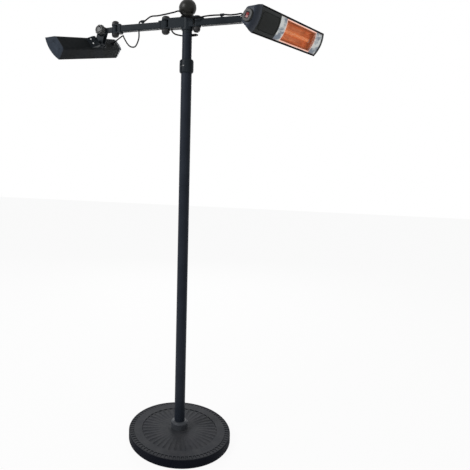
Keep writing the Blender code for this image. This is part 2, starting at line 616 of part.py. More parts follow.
def tilt_yoke(side, look, axis):
    """Two cheeks beside the knuckle and the plate that carries the turntable."""
    plate_front = MOUNT_REACH - GAP - BRACKET_PLATE_THICKNESS - TURN_BOSS_HEIGHT - GAP
    plate_back = plate_front - YOKE_PLATE_THICKNESS
    weld = plate_front - YOKE_PLATE_THICKNESS / 2
    radius, reach = KNUCKLE_DIAMETER / 2, YOKE_PLATE_DIAMETER / 2
    upper = (weld, -MOUNT_DROP + radius)
    lower = (YOKE_SLOT_FLOOR, -MOUNT_DROP - radius)
    start, end = tangent_angle(radius, upper, 1), tangent_angle(radius, lower, -1) + math.tau
    outline = [*arc((0, 0), radius, start, end, ARC_STEPS * 2), lower, (weld, lower[1]), upper]
    yoke = finish(side + "_yoke", extruded(outline, -YOKE_HALF, YOKE_HALF, "y"), look, axis)
    centre = (0, 0, -MOUNT_DROP)
    combine(yoke, laid(rod(reach, plate_back, plate_front, ROUND_STEPS), "x", centre), "UNION")
    slot, far = KNUCKLE_WIDTH / 2 + GAP, radius + OVERRUN
    combine(yoke, block((-far, -slot, lower[1] - OVERRUN), (YOKE_SLOT_FLOOR, slot, far)))
    boss, weld_depth = TILT_NUT_DIAMETER / 2, CHEEK_THICKNESS / 2
    combine(yoke, laid(rod(boss, -YOKE_HALF - TILT_NUT_LENGTH, -YOKE_HALF + weld_depth), "y"), "UNION")
    pin = TILT_PIN_DIAMETER / 2 + GAP
    combine(yoke, laid(rod(pin, -YOKE_HALF - TILT_NUT_LENGTH - OVERRUN, YOKE_HALF + OVERRUN), "y"))
    pin, head = TURN_PIN_DIAMETER / 2 + GAP, TURN_HEAD_DIAMETER / 2 + GAP
    stepped = ((0, YOKE_SLOT_FLOOR - OVERRUN), (head, YOKE_SLOT_FLOOR - OVERRUN), (head, plate_back),
               (pin, plate_back), (pin, plate_front + OVERRUN), (0, plate_front + OVERRUN))
    combine(yoke, laid(turned(stepped), "x", centre))


def tilt_knob(side, look, axis):
    """The lobed hand knob that clamps the tilt hinge, with its screw."""
    seat, shoulder = YOKE_HALF + GAP, YOKE_HALF + GAP + KNOB_LENGTH - KNOB_DOME
    count = KNOB_LOBES * LOBE_STEPS
    outline = []
    for step in range(count):
        turn = math.tau * step / count
        reach = KNOB_DIAMETER / 2 * (1 - KNOB_LOBE_SHARE * (1 - math.cos(KNOB_LOBES * turn)))
        outline.append((reach * math.cos(turn), reach * math.sin(turn)))
    bm = extruded(outline, seat, shoulder)
    bmesh.ops.recalc_face_normals(bm, faces=bm.faces)
    top = max(bm.faces, key=lambda face: face.calc_center_median().z)
    for inward, outward in KNOB_DOME_SHARES:
        bmesh.ops.inset_region(bm, faces=[top], thickness=KNOB_DOME * inward, depth=KNOB_DOME * outward)
    knob = finish(side + "_tilt_knob", laid(bm, "y"), look, axis)
    screw = rod(TILT_PIN_DIAMETER / 2, -YOKE_HALF - TILT_NUT_LENGTH, seat + OVERRUN)
    combine(knob, laid(screw, "y"), "UNION")


# Heads: +X out of the front, +Z up across it, -Y towards the service end

def front_level(across):
    """How far the swollen front stands from the back, at a place across it."""
    return HEAD_DEPTH + FRONT_BULGE * (1 - (across / FRONT_HALF) ** 2)


def front_arc(half, inset):
    places = [half * (2 * step / FRONT_STEPS - 1) for step in range(FRONT_STEPS + 1)]
    return [(front_level(across) - inset, across) for across in places]


def side_half(depth, inset):
    """Half the section's width at a depth, inset from its slanted sides."""
    slope = math.atan2(FRONT_HALF - BACK_HALF, HEAD_DEPTH)
    return BACK_HALF + depth * math.tan(slope) - inset / math.cos(slope)


def skin(inset, depth):
    """Sides and back of the section, from the upper edge at a depth round to the lower one."""
    turn = math.pi / 2 - math.atan2(FRONT_HALF - BACK_HALF, HEAD_DEPTH)
    reach = SHOULDER_RADIUS * math.tan(turn / 2)
    radius = SHOULDER_RADIUS - inset
    upper = [(depth, side_half(depth, inset))]
    for step in range(SHOULDER_STEPS, -1, -1):
        bend = turn * step / SHOULDER_STEPS
        upper.append((SHOULDER_RADIUS - radius * math.cos(bend), BACK_HALF - reach + radius * math.sin(bend)))
    return upper + [(x, -z) for x, z in reversed(upper)]


def housing(side, look, axis):
    """A folded channel, open at the front and both ends, with its edges turned in as a rim."""
    rim = (front_level(OPENING_HALF), OPENING_HALF)
    inner = (rim[0] - HOUSING_WALL, OPENING_HALF)
    outline = [*skin(0, HEAD_DEPTH), (rim[0], -rim[1]), (inner[0], -inner[1]),
               *reversed(skin(HOUSING_WALL, HEAD_DEPTH - HOUSING_WALL)), inner, rim]
    channel = extruded(outline, SERVICE_END, PLAIN_END - CAP_THICKNESS - GAP, "y")
    shell = finish(side + "_housing", channel, look, axis)
    stem = GLAND_STEM_DIAMETER / 2 + GAP
    place = (0, PLAIN_END - HEAD_LENGTH * GLAND_SHARE, 0)
    combine(shell, laid(rod(stem, -OVERRUN, HOUSING_WALL + OVERRUN), "x", place))


def lead_gland(side, look, axis):
    """The lead's gland on the head's back, its stem through the housing."""
    bore, stem = LEAD_DIAMETER / 2 + GAP, GLAND_STEM_DIAMETER / 2
    flange, nose = GLAND_DIAMETER / 2, GLAND_NOSE_DIAMETER / 2
    inside, seat = HOUSING_WALL + GAP, -GAP
    profile = ((bore, inside), (stem, inside), (stem, seat), (flange, seat), (flange, seat - GLAND_HEIGHT),
               (nose, seat - GLAND_HEIGHT), (nose, seat - GLAND_HEIGHT - GLAND_NOSE_HEIGHT),
               (bore, seat - GLAND_HEIGHT - GLAND_NOSE_HEIGHT))
    place = (0, PLAIN_END - HEAD_LENGTH * GLAND_SHARE, 0)
    finish(side + "_gland", laid(turned(profile, SMALL_STEPS), "x", place), look, axis)


def head_bracket(side, look, axis):
    """The plate on the head's back with the turntable's boss, pin and riveted head."""
    plate = -GAP - BRACKET_PLATE_THICKNESS
    boss = plate - TURN_BOSS_HEIGHT
    back = boss - GAP * 2 - YOKE_PLATE_THICKNESS
    half_long, half_wide = BRACKET_PLATE_LENGTH / 2, BRACKET_PLATE_WIDTH / 2
    flat = block((plate, -half_long, -half_wide), (-GAP, half_long, half_wide))
    made = finish(side + "_head_bracket", flat, look, axis)
    middle = (plate - GAP) / 2
    pin, head, wide = TURN_PIN_DIAMETER / 2, TURN_HEAD_DIAMETER / 2, TURN_BOSS_DIAMETER / 2
    profile = ((0, middle), (wide, middle), (wide, boss), (pin, boss), (pin, back), (head, back),
               (head, back - TURN_HEAD_HEIGHT), (0, back - TURN_HEAD_HEIGHT))
    combine(made, laid(turned(profile), "x"), "UNION")


def plain_cap(side, look, axis):
    outline = [*skin(0, HEAD_DEPTH), *front_arc(FRONT_HALF, 0)[1:-1]]
    finish(side + "_plain_cap", extruded(outline, PLAIN_END - CAP_THICKNESS, PLAIN_END, "y"), look, axis)


def service_cap(side, look, axis):
    """The rounded nose: the section drawn in along a quarter wave, hollow and open to the housing."""
    seam, middle = SERVICE_END - GAP, HEAD_DEPTH / 2
    outline = [*skin(0, HEAD_DEPTH), *front_arc(FRONT_HALF, 0)[1:-1]]
    bm = bmesh.new()
    face = bm.faces.new([bm.verts.new((x, seam, z)) for x, z in outline])
    rings = [(1, NOSE_COLLAR)]
    for step in range(1, NOSE_STEPS + 1):
        bend = math.pi / 2 * step / NOSE_STEPS
        rings.append((NOSE_TIP_SHARE + (1 - NOSE_TIP_SHARE) * math.cos(bend),
                      NOSE_COLLAR + (NOSE_LENGTH - NOSE_COLLAR) * math.sin(bend)))
    share, level = 1, 0
    for next_share, next_level in rings:
        pushed = bmesh.ops.extrude_face_region(bm, geom=[face])["geom"]
        if face.is_valid:
            bmesh.ops.delete(bm, geom=[face], context="FACES_ONLY")
        face = next(item for item in pushed if isinstance(item, bmesh.types.BMFace))
        points, ratio = list(face.verts), next_share / share
        bmesh.ops.scale(bm, vec=(ratio, 1, ratio), space=Matrix.Translation((-middle, 0, 0)), verts=points)
        bmesh.ops.translate(bm, vec=(0, level - next_level, 0), verts=points)
        share, level = next_share, next_level
    cap = finish(side + "_service_cap", bm, look, axis)
    wall = cap.modifiers.new("Wall", "SOLIDIFY")
    wall.thickness = NOSE_WALL
    wall.offset = -1
    wall.use_even_offset = True
    half_wide, half_long = ROCKER_WIDTH / 2 + ROCKER_PLAY, ROCKER_LENGTH / 2 + ROCKER_PLAY
    tip = seam - NOSE_LENGTH
    combine(cap, block((rocker_level() - half_wide, tip - OVERRUN, -half_long),
                       (rocker_level() + half_wide, tip + NOSE_WALL + OVERRUN, half_long)))


def rocker_level():
    """The switch's place from the back: the middle of the nose's flat tip."""
    return HEAD_DEPTH / 2 + FRONT_BULGE * NOSE_TIP_SHARE / 2


def rocker(side, look, axis):
    """The rocker of the switch: two flats in a shallow valley, so that a pressed half lies level."""
    half, wide = ROCKER_LENGTH / 2, ROCKER_WIDTH / 2
    raised = -half * math.tan(ROCKER_THROW)
    outline = ((ROCKER_DEPTH, -half), (raised, -half), (0, 0), (raised, half), (ROCKER_DEPTH, half))
    finish(side + "_rocker", extruded(outline, -wide, wide, "x"), look, axis)


def service_panel(side, look, axis):
    half = OPENING_HALF - FRONT_PLAY
    outline = [*front_arc(half, 0), *reversed(front_arc(half, PANEL_THICKNESS))]
    finish(side + "_service_panel", extruded(outline, SERVICE_END + GAP, PANEL_END, "y"), look, axis)


def sheet(name, look, axis, columns, rows, level, thickness, dropped=None, pressed=None):
    """A sheet over columns across the head and rows along it, with cells dropped or pressed in."""
    bm = bmesh.new()
    line = [bm.verts.new((level(across), rows[0], across)) for across in columns]
    edges = [bm.edges.new(pair) for pair in zip(line, line[1:])]
    for low, high in zip(rows, rows[1:]):
        pushed = bmesh.ops.extrude_edge_only(bm, edges=edges)["geom"]
        points = [item for item in pushed if isinstance(item, bmesh.types.BMVert)]
        bmesh.ops.translate(bm, vec=(0, high - low, 0), verts=points)
        edges = [edge for edge in pushed if isinstance(edge, bmesh.types.BMEdge)
                 and all(point in points for point in edge.verts)]
    bmesh.ops.recalc_face_normals(bm, faces=bm.faces)
    if dropped:
        holes = [face for face in bm.faces if dropped(face.calc_center_median())]
        bmesh.ops.delete(bm, geom=holes, context="FACES")
    if pressed:
        pressed(bm)
    made = finish(name, bm, look, axis)
    wall = made.modifiers.new("Wall", "SOLIDIFY")
    wall.thickness = thickness
    wall.offset = 0
    wall.use_even_offset = pressed is None      # a pressed sheet thins at its corners


def trough_level(across):
    """Height of the trough's floor, across a mouth of half width one."""
    return HEAD_DEPTH - TROUGH_DEPTH + TROUGH_RISE * across ** 2


def reflector(side, look, axis):
    """One pressed sheet: a frame that follows the front and a trough behind the window."""
    edge = OPENING_HALF - FRONT_PLAY
    inner = [WINDOW_HALF * (2 * step / WINDOW_COLUMNS - 1) for step in range(WINDOW_COLUMNS + 1)]
    rows = (PANEL_END + GAP, WINDOW_START, WINDOW_END, PLAIN_END - CAP_THICKNESS - GAP * 2)
    seat = GRILLE_THICKNESS + GAP + SHEET / 2

    def press(bm):
        window = []
        for face in bm.faces:
            centre = face.calc_center_median()
            if abs(centre.z) < WINDOW_HALF and WINDOW_START < centre.y < WINDOW_END:
                window.append(face)
        pushed = bmesh.ops.extrude_face_region(bm, geom=window)["geom"]
        bmesh.ops.delete(bm, geom=[face for face in window if face.is_valid], context="FACES")
        for point in pushed:
            if isinstance(point, bmesh.types.BMVert):
                point.co.x = trough_level(point.co.z / WINDOW_HALF)
                point.co.z *= TROUGH_FLOOR_SHARE

    sheet(side + "_reflector", look, axis, [-edge, *inner, edge], rows,
          lambda across: front_level(across) - seat, SHEET, pressed=press)


def grille(side, look, axis):
    """A curved guard of flat wires across the window, in two long rails."""
    half = WINDOW_HALF + GRILLE_RAIL
    inner = [WINDOW_HALF * (2 * step / WINDOW_COLUMNS - 1) for step in range(WINDOW_COLUMNS + 1)]
    space = (WINDOW_END - WINDOW_START - GRILLE_BARS * GRILLE_BAR_WIDTH) / (GRILLE_BARS + 1)
    rows = [WINDOW_START - GRILLE_RAIL, WINDOW_START]
    for bar in range(GRILLE_BARS):
        rows += [rows[-1] + space, rows[-1] + space + GRILLE_BAR_WIDTH]
    rows += [WINDOW_END, WINDOW_END + GRILLE_RAIL]
    pitch = space + GRILLE_BAR_WIDTH

    def gap(centre):
        along = centre.y - WINDOW_START
        return abs(centre.z) < WINDOW_HALF and 0 < along < WINDOW_END - WINDOW_START and along % pitch < space

    sheet(side + "_grille", look, axis, [-half, *inner, half], rows,
          lambda across: front_level(across) - GRILLE_THICKNESS / 2, GRILLE_THICKNESS, dropped=gap)


def lamp_pieces(side, looks, axis):
    """The infrared tube in two ceramic holders on the trough's floor."""
    half = HOLDER_SIZE / 2
    floor = trough_level(1 / WINDOW_COLUMNS) + SHEET / 2 + GAP
    near, far = WINDOW_START + SHEET / 2 + GAP, WINDOW_END - SHEET / 2 - GAP
    thick, thin = LAMP_DIAMETER / 2, LAMP_END_DIAMETER / 2
    start, end = near + HOLDER_LENGTH + GAP, far - HOLDER_LENGTH - GAP
    lamp = turned(((0, near + GAP), (thin, near + GAP), (thin, start), (thick, start + LAMP_SHOULDER),
                   (thick, end - LAMP_SHOULDER), (thin, end), (thin, far - GAP), (0, far - GAP)), SMALL_STEPS)
    finish(side + "_lamp", laid(lamp, "y", (LAMP_LEVEL, 0, 0)), looks["glow"], axis)
    for place, low in (("service", near), ("plain", far - HOLDER_LENGTH)):
        high = low + HOLDER_LENGTH
        body = block((floor, low, -half), (LAMP_LEVEL + half, high, half))
        holder = finish(f"{side}_{place}_lamp_holder", body, looks["ceramic"], axis)
        bore = rod(thin + GAP, low - OVERRUN, high + OVERRUN)
        combine(holder, laid(bore, "y", (LAMP_LEVEL, 0, 0)))


def head_pieces(side, looks, axis):
    head_bracket(side, looks["coat"], axis)
    housing(side, looks["coat"], axis)
    lead_gland(side, looks["rubber"], axis)
    plain_cap(side, looks["plastic"], axis)
    service_cap(side, looks["plastic"], axis)
    service_panel(side, looks["plastic"], axis)
    reflector(side, looks["mirror"], axis)
    grille(side, looks["wire"], axis)
    lamp_pieces(side, looks, axis)
    tip = SERVICE_END - GAP - NOSE_LENGTH
    pivot = empty(side + "_rocker_axis", axis, (rocker_level(), tip, 0), (ROCKER_THROW, 0, 0))
    rocker(side, looks["red"], pivot)


def lead(name, look, route):
    """A lead through a route's points, as a smooth curve read off every few millimetres."""
    knots = [Vector((x, y, ARM_HEIGHT + z)) for x, y, z in route]
    knots = [knots[0] * 2 - knots[1], *knots, knots[-1] * 2 - knots[-2]]
    points = [knots[1]]
    for before, start, end, after in zip(knots, knots[1:], knots[2:], knots[3:]):
        span = (end - start).length
        leaving = blended_course(before, start, end) * span
        arriving = blended_course(start, end, after) * span
        count = max(1, round(span / LEAD_STEP))
        for step in range(1, count + 1):
            t = step / count
            points.append(start * (2 * t ** 3 - 3 * t ** 2 + 1) + leaving * (t ** 3 - 2 * t ** 2 + t)
                          + end * (3 * t ** 2 - 2 * t ** 3) + arriving * (t ** 3 - t ** 2))
    curve = bpy.data.curves.new(name, "CURVE")
    curve.dimensions = "3D"
    curve.bevel_depth = LEAD_DIAMETER / 2
    curve.bevel_resolution = 2
    curve.use_fill_caps = True
    spline = curve.splines.new("POLY")
    spline.points.add(len(points) - 1)
    for target, point in zip(spline.points, points):
        target.co = (*point, 1)
    curve.materials.append(look)
    bpy.context.scene.collection.objects.link(bpy.data.objects.new(name, curve))


def blended_course(before, at, after):
    """Direction of the curve at a point, leaning to the nearer neighbour."""
    into, out = at - before, after - at
    return (into.normalized() * out.length + out.normalized() * into.length) / (into.length + out.length)


def side_pieces(side, looks, mast):
    """One side of the heater: bracket, arm, swivel, tilt, turntable and head."""
    heading = math.pi if side == "left" else 0
    facing = empty(side + "_side", mast, (0, 0, ARM_HEIGHT), (0, 0, heading))
    pin = mast_bracket(side, looks, facing)
    arm = empty(side + "_arm_axis", facing, (pin, 0, 0))
    arm_pieces(side, looks, arm)
    swivel, tilt, turn = REST[side]
    swivel_axis = empty(side + "_swivel_axis", arm, (ARM_LENGTH, 0, 0), (0, 0, swivel))
    swivel_block(side, looks["coat"], swivel_axis)
    tilt_axis = empty(side + "_tilt_axis", swivel_axis, (SWIVEL_REACH, 0, 0), (0, tilt, 0))
    tilt_yoke(side, looks["coat"], tilt_axis)
    tilt_knob(side, looks["plastic"], tilt_axis)
    turn_axis = empty(side + "_turn_axis", tilt_axis, (MOUNT_REACH, 0, -MOUNT_DROP), (-turn, 0, 0))
    head_pieces(side, looks, turn_axis)


def build():
    clear_scene()
    looks = {
        "iron": material("cast_iron_coat", (0.055, 0.058, 0.064), 0.55),
        "coat": material("black_coat", (0.035, 0.040, 0.046), 0.42),
        "gloss": material("ball_coat", (0.030, 0.031, 0.030), 0.28),
        "plastic": material("moulded_plastic", (0.030, 0.034, 0.042), 0.50),
        "rubber": material("lead_rubber", (0.012, 0.012, 0.013), 0.60),
        "steel": material("zinc_steel", (0.55, 0.56, 0.57), 0.35, 1.0),
        "stone": material("ballast_concrete", (0.38, 0.37, 0.35), 0.95),
        "mirror": material("polished_aluminium", (0.62, 0.64, 0.65), 0.22, 1.0),
        "wire": material("guard_steel", (0.45, 0.30, 0.24), 0.35, 1.0),
        "glow": material("lamp_tube", (0.95, 0.42, 0.16), 0.20),
        "ceramic": material("lamp_ceramic", (0.82, 0.79, 0.72), 0.60),
        "red": material("switch_red", (0.55, 0.04, 0.04), 0.30),
    }
    base_pieces(looks)
    pole_pieces(looks)
    clamp_collar(looks)
    mast = empty("mast_axis")
    mast_pieces(looks)
    for side in ("left", "right"):
        side_pieces(side, looks, mast)
    lead("left_lead_loop", looks["rubber"], LEFT_LOOP_ROUTE)
    lead("top_lead", looks["rubber"], TOP_ROUTE)
    lead("right_lead_loop", looks["rubber"], RIGHT_LOOP_ROUTE)
    lead("under_lead", looks["rubber"], UNDER_ROUTE)


build()
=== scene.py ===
# %% [markdown]
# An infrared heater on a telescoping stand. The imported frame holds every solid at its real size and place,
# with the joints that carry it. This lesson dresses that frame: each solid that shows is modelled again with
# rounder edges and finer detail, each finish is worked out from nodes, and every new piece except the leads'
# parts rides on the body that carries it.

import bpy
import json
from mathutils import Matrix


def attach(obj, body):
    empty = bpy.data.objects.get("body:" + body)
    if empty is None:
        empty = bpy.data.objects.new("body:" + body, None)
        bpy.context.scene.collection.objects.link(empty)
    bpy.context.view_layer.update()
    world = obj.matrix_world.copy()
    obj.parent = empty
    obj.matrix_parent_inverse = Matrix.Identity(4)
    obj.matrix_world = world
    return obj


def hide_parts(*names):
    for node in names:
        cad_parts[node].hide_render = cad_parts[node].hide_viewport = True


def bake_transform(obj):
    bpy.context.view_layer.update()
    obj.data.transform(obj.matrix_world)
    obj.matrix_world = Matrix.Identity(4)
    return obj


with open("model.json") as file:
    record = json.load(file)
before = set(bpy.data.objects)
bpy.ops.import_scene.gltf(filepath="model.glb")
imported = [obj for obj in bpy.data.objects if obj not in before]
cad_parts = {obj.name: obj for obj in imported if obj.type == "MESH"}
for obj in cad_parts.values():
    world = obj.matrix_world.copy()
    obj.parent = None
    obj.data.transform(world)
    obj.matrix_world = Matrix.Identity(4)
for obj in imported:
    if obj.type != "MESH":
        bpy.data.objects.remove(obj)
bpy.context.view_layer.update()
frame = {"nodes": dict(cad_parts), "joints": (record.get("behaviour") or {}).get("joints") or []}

# %% [markdown]
# All shapes are built with Blender's own operators, so the usual modules and Blender's
# own are all that is needed.

# %% Modules
import json
import math

import bmesh
import bpy
from mathutils import Matrix, Vector

# %% [markdown]
# The camera comes first. Its focal length and the point where its axis meets the picture were
# fitted to the round base and the pole's taper. That point is not the picture's middle, so the
# frame is cut out of a wider view, which Blender calls shift.

# %% Camera
PICTURE = 470                    # pixels, both ways
FOCAL = 460.7                    # pixels
AXIS_ACROSS, AXIS_DOWN = 168, 190
SENSOR = 36                      # millimetres, as Blender's lens is
EYE = Vector((0.6159, -2.1339, 1.36))
HEADING = math.radians(18.1)
PITCH = math.radians(3.39)
ROLL = math.radians(1.02)

lens = bpy.data.cameras.new("camera")
lens.sensor_width = SENSOR
lens.lens = FOCAL / PICTURE * SENSOR
lens.shift_x = 0.5 - AXIS_ACROSS / PICTURE
lens.shift_y = AXIS_DOWN / PICTURE - 0.5
camera = bpy.data.objects.new("camera", lens)
bpy.context.scene.collection.objects.link(camera)
aim = (Matrix.Rotation(HEADING, 4, "Z") @ Matrix.Rotation(math.pi / 2 - PITCH, 4, "X")
       @ Matrix.Rotation(ROLL, 4, "Z"))
camera.matrix_world = Matrix.Translation(EYE) @ aim
bpy.context.scene.camera = camera
bpy.context.scene.view_settings.view_transform = "Standard"
print("lens", round(lens.lens, 2), "shift", round(lens.shift_x, 4), round(lens.shift_y, 4))

# %% [markdown]
# Each side of the heater is a chain of frames: the arm, the swivel block, the tilting yoke,
# the head and the switch. The joints say where each frame lies, so the pieces can be modelled
# square to their own frame and then placed by one matrix.

# %% Frames of the moving parts
SIDES = ("left", "right")
UP = Vector((0, 0, 1))
joints = {joint["name"]: joint for joint in frame["joints"]}


def squared(origin, along_x, along_y):
    """A frame from its origin, its X and a direction close to its Y."""
    x = along_x.normalized()
    z = x.cross(along_y).normalized()
    return Matrix.Translation(origin) @ Matrix((x, z.cross(x), z)).transposed().to_4x4()


def side_frames(side):
    spot = {name: Vector(joints[f"{side}_{name}"]["pos_m"]) for name in
            ("arm_swing", "head_swivel", "head_tilt", "head_turn", "switch_rock")}
    hinge = Vector(joints[side + "_head_tilt"]["axis"])
    front = Vector(joints[side + "_head_turn"]["axis"])
    outward = spot["head_swivel"] - spot["arm_swing"]
    reach = spot["head_tilt"] - spot["head_swivel"]
    along = spot["head_turn"] - spot["switch_rock"]
    found = {
        "side": squared(Vector((0, 0, spot["arm_swing"].z)), outward, UP.cross(outward)),
        "arm": squared(spot["arm_swing"], outward, UP.cross(outward)),
        "swivel": squared(spot["head_swivel"], reach, UP.cross(reach)),
        "tilt": squared(spot["head_tilt"], front, hinge),
        "head": squared(spot["head_turn"], front, along),
    }
    found["knob"] = found["tilt"]
    throw = math.radians(joints[side + "_switch_rock"]["range_deg"][1]) / 2
    switch = found["head"].inverted() @ spot["switch_rock"]
    found["switch"] = found["head"] @ Matrix.Translation(switch) @ Matrix.Rotation(throw, 4, "X")
    return found


places = {side: side_frames(side) for side in SIDES}
print("head frames", {side: [round(v, 3) for v in places[side]["head"].translation] for side in SIDES})

# %% [markdown]
# A finished piece has to fit where its plain solid is. Its main sizes are therefore measured
# from that solid, square to the frame of the body that carries it.

# %% Measure a solid in a frame
def span(node, place=Matrix()):
    """Lowest and highest corner of a CAD node, square to a frame."""
    inverse = place.inverted()
    points = [inverse @ vertex.co for vertex in frame["nodes"][node].data.vertices]
    return Vector(map(min, zip(*points))), Vector(map(max, zip(*points)))


def side_span(side, node, body):
    return span(f"{side}_{node}", places[side][body])


arm_box = side_span("right", "arm", "arm")
print("arm", [round(value, 4) for corner in arm_box for value in corner])

# %% [markdown]
# Most of the heater is made of three kinds of shape: turned rings, slabs cut from plate, and
# blocks. One helper makes each kind, by spin, extrude or scale. Others break the edges with a
# bevel, or lay a shape that was made about Z onto another axis.

# %% Turned rings, slabs and blocks
GAP = 0.0003                     # clearance that neighbours keep
OVERRUN = 0.004                  # how far a cutter runs past what it cuts
WELD = 0.000002
CRISP = math.radians(32)
FINE = 96                        # sides of what is turned large
ROUND = 56
SMALL = 28
TURNS = {"x": Matrix.Rotation(math.pi / 2, 4, "Y"), "y": Matrix.Rotation(-math.pi / 2, 4, "X"),
         "z": Matrix.Identity(4)}


def settled(bm):
    bmesh.ops.remove_doubles(bm, verts=bm.verts, dist=WELD)
    bmesh.ops.recalc_face_normals(bm, faces=bm.faces)
    return bm


def rounded(bm, edges, width, segments, clamp=False):
    bmesh.ops.bevel(bm, geom=edges, offset=width, offset_type="OFFSET", segments=segments, profile=0.5,
                    affect="EDGES", clamp_overlap=clamp, material=-1)
    return bm


def eased(bm, width, segments=2, sharper=CRISP):
    """Round every edge that turns by more than an angle."""
    edges = [edge for edge in bm.edges if len(edge.link_faces) == 2 and edge.calc_face_angle() > sharper]
    return rounded(bm, edges, width, segments, True)


def ring(profile, steps=ROUND):
    """Turn (radius, height) points about Z; a profile off the axis closes on itself."""
    bm = bmesh.new()
    points = [bm.verts.new((radius, 0, height)) for radius, height in profile]
    pairs = list(zip(points, points[1:]))
    if min(radius for radius, height in profile) > 0:
        pairs.append((points[-1], points[0]))
    edges = [bm.edges.new(pair) for pair in pairs]
    bmesh.ops.spin(bm, geom=points + edges, cent=(0, 0, 0), axis=(0, 0, 1), angle=math.tau, steps=steps,
                   use_merge=True)
    return settled(bm)


def rod(radius, low, high, steps=SMALL):
    return ring(((0, low), (radius, low), (radius, high), (0, high)), steps)


def slab(outline, low, high, axis="z"):
    """Push a closed outline along an axis: (x, y) along z, (x, z) along y, (y, z) along x."""
    bm = bmesh.new()
    face = bm.faces.new([bm.verts.new((u, v, low)) for u, v in outline])
    pushed = bmesh.ops.extrude_face_region(bm, geom=[face])["geom"]
    moved = [item for item in pushed if isinstance(item, bmesh.types.BMVert)]
    bmesh.ops.translate(bm, verts=moved, vec=(0, 0, high - low))
    order = {"z": (0, 1, 2), "y": (0, 2, 1), "x": (2, 0, 1)}[axis]
    for vertex in bm.verts:
        vertex.co = [vertex.co[place] for place in order]
    return settled(bm)


def block(low, high):
    bm = bmesh.new()
    bmesh.ops.create_cube(bm, size=1)
    bmesh.ops.scale(bm, vec=Vector(high) - Vector(low), verts=bm.verts)
    bmesh.ops.translate(bm, vec=(Vector(high) + Vector(low)) / 2, verts=bm.verts)
    return bm


def laid(bm, axis, place=(0, 0, 0)):
    """Turn a shape made about Z onto X or Y, then move it."""
    bmesh.ops.transform(bm, matrix=Matrix.Translation(place) @ TURNS[axis], verts=bm.verts)
    return bm


def arc(centre, radius, start, end, steps):
    spread = [start + (end - start) * step / steps for step in range(steps + 1)]
    return [(centre[0] + radius * math.cos(a), centre[1] + radius * math.sin(a)) for a in spread]


# %% [markdown]
# A weld or a sawn slot is a Boolean: both shapes are put into the scene for a moment, joined
# or cut, and taken away again. A finished shape then becomes a piece. It is placed by its
# frame's matrix, keeps its unturned coordinates for the finishes, takes the place of its
# solid, and rides on its body.

# %% Join, cut and place
JOIN, CUT = "UNION", "DIFFERENCE"


def loose(bm):
    """A throw-away object for the Boolean modifier."""
    mesh = bpy.data.meshes.new("loose")
    bm.to_mesh(mesh)
    bm.free()
    made = bpy.data.objects.new("loose", mesh)
    bpy.context.scene.collection.objects.link(made)
    return made


def worked(bm, *jobs):
    """Join shapes to this one, or cut them from it, in the order given."""
    target = loose(bm)
    tools = []
    for operation, shape in jobs:
        tools.append(loose(shape))
        boolean = target.modifiers.new(operation, "BOOLEAN")
        boolean.operation = operation
        boolean.solver = "EXACT"
        boolean.object = tools[-1]
    bpy.context.view_layer.update()
    mesh = bpy.data.meshes.new_from_object(target.evaluated_get(bpy.context.evaluated_depsgraph_get()))
    result = bmesh.new()
    result.from_mesh(mesh)
    for item in (target, *tools):
        data = item.data
        bpy.data.objects.remove(item)
        bpy.data.meshes.remove(data)
    bpy.data.meshes.remove(mesh)
    return settled(result)


def added(bm, other):
    """Put another shape into the same piece."""
    mesh = bpy.data.meshes.new("part")
    other.to_mesh(mesh)
    other.free()
    bm.from_mesh(mesh)
    bpy.data.meshes.remove(mesh)


def dressed(name, bm, look, place=Matrix(), stands_for=None):
    """Turn a finished shape into a piece at its place; it keeps its unturned coordinates."""
    own = bm.verts.layers.float_vector.new("own_place")
    for vertex in bm.verts:
        vertex[own] = vertex.co
    open_edges = sum(1 for edge in bm.edges if not edge.is_manifold)
    print(f"{name}: {len(bm.faces)} faces" + (f", {open_edges} open edges" if open_edges else ""))
    bmesh.ops.transform(bm, matrix=place, verts=bm.verts)
    mesh = bpy.data.meshes.new(name)
    bm.to_mesh(mesh)
    bm.free()
    mesh.materials.append(look)
    mesh.shade_smooth()
    mesh.set_sharp_from_angle(angle=CRISP)
    made = bpy.data.objects.new(name, mesh)
    bpy.context.scene.collection.objects.link(made)
    if stands_for:
        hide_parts(stands_for)
    return made


def mounted(name, bm, body, look, place=Matrix(), stands_for=None):
    """A rigid piece that moves with one body; flat faces keep their own shading."""
    made = dressed(name, bm, look, place, stands_for)
    made.modifiers.new("Flat faces first", "WEIGHTED_NORMAL").keep_sharp = True
    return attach(made, body)


def fitted(side, part, bm, body, look, node=None):
    """A piece of one side of the heater, made square to the frame of its body."""
    stands_for = f"{side}_{node}" if node else None
    return mounted(f"{side}_{part}", bm, f"{side}_{body}", look, places[side][body], stands_for)


# %% [markdown]
# Finishes are sums of noises, so the shader maths is written as plain Python sums. A small
# class wraps a socket: adding or multiplying wraps a Math node. Any other node comes from one
# method that sets the node's own settings first and then its sockets.

# %% Shader maths as Python sums


class Wire:
    """One output of a node, which can be added, multiplied and so on."""

    def __init__(self, finish, socket):
        self.finish, self.socket = finish, socket

    def math(self, operation, *values):
        return self.finish.node("Math", {"operation": operation}, dict(enumerate(values)))

    def __add__(self, other):
        return self.math("ADD", self, other)

    def __sub__(self, other):
        return self.math("SUBTRACT", self, other)

    def __rsub__(self, other):
        return self.math("SUBTRACT", other, self)

    def __mul__(self, other):
        return self.math("MULTIPLY", self, other)

    def __pow__(self, other):
        return self.math("POWER", self, other)

    __radd__, __rmul__ = __add__, __mul__

    def at_least(self, other):
        return self.math("MAXIMUM", self, other)

    def at_most(self, other):
        return self.math("MINIMUM", self, other)

    def wave(self):
        return self.math("SINE", self)

    def size(self):
        return self.math("ABSOLUTE", self)

    def rise(self, start, end):
        """Nought before start, one after end, smooth between them."""
        return self.finish.node("MapRange", {"interpolation_type": "SMOOTHSTEP"},
                                {"Value": self, "From Min": start, "From Max": end})


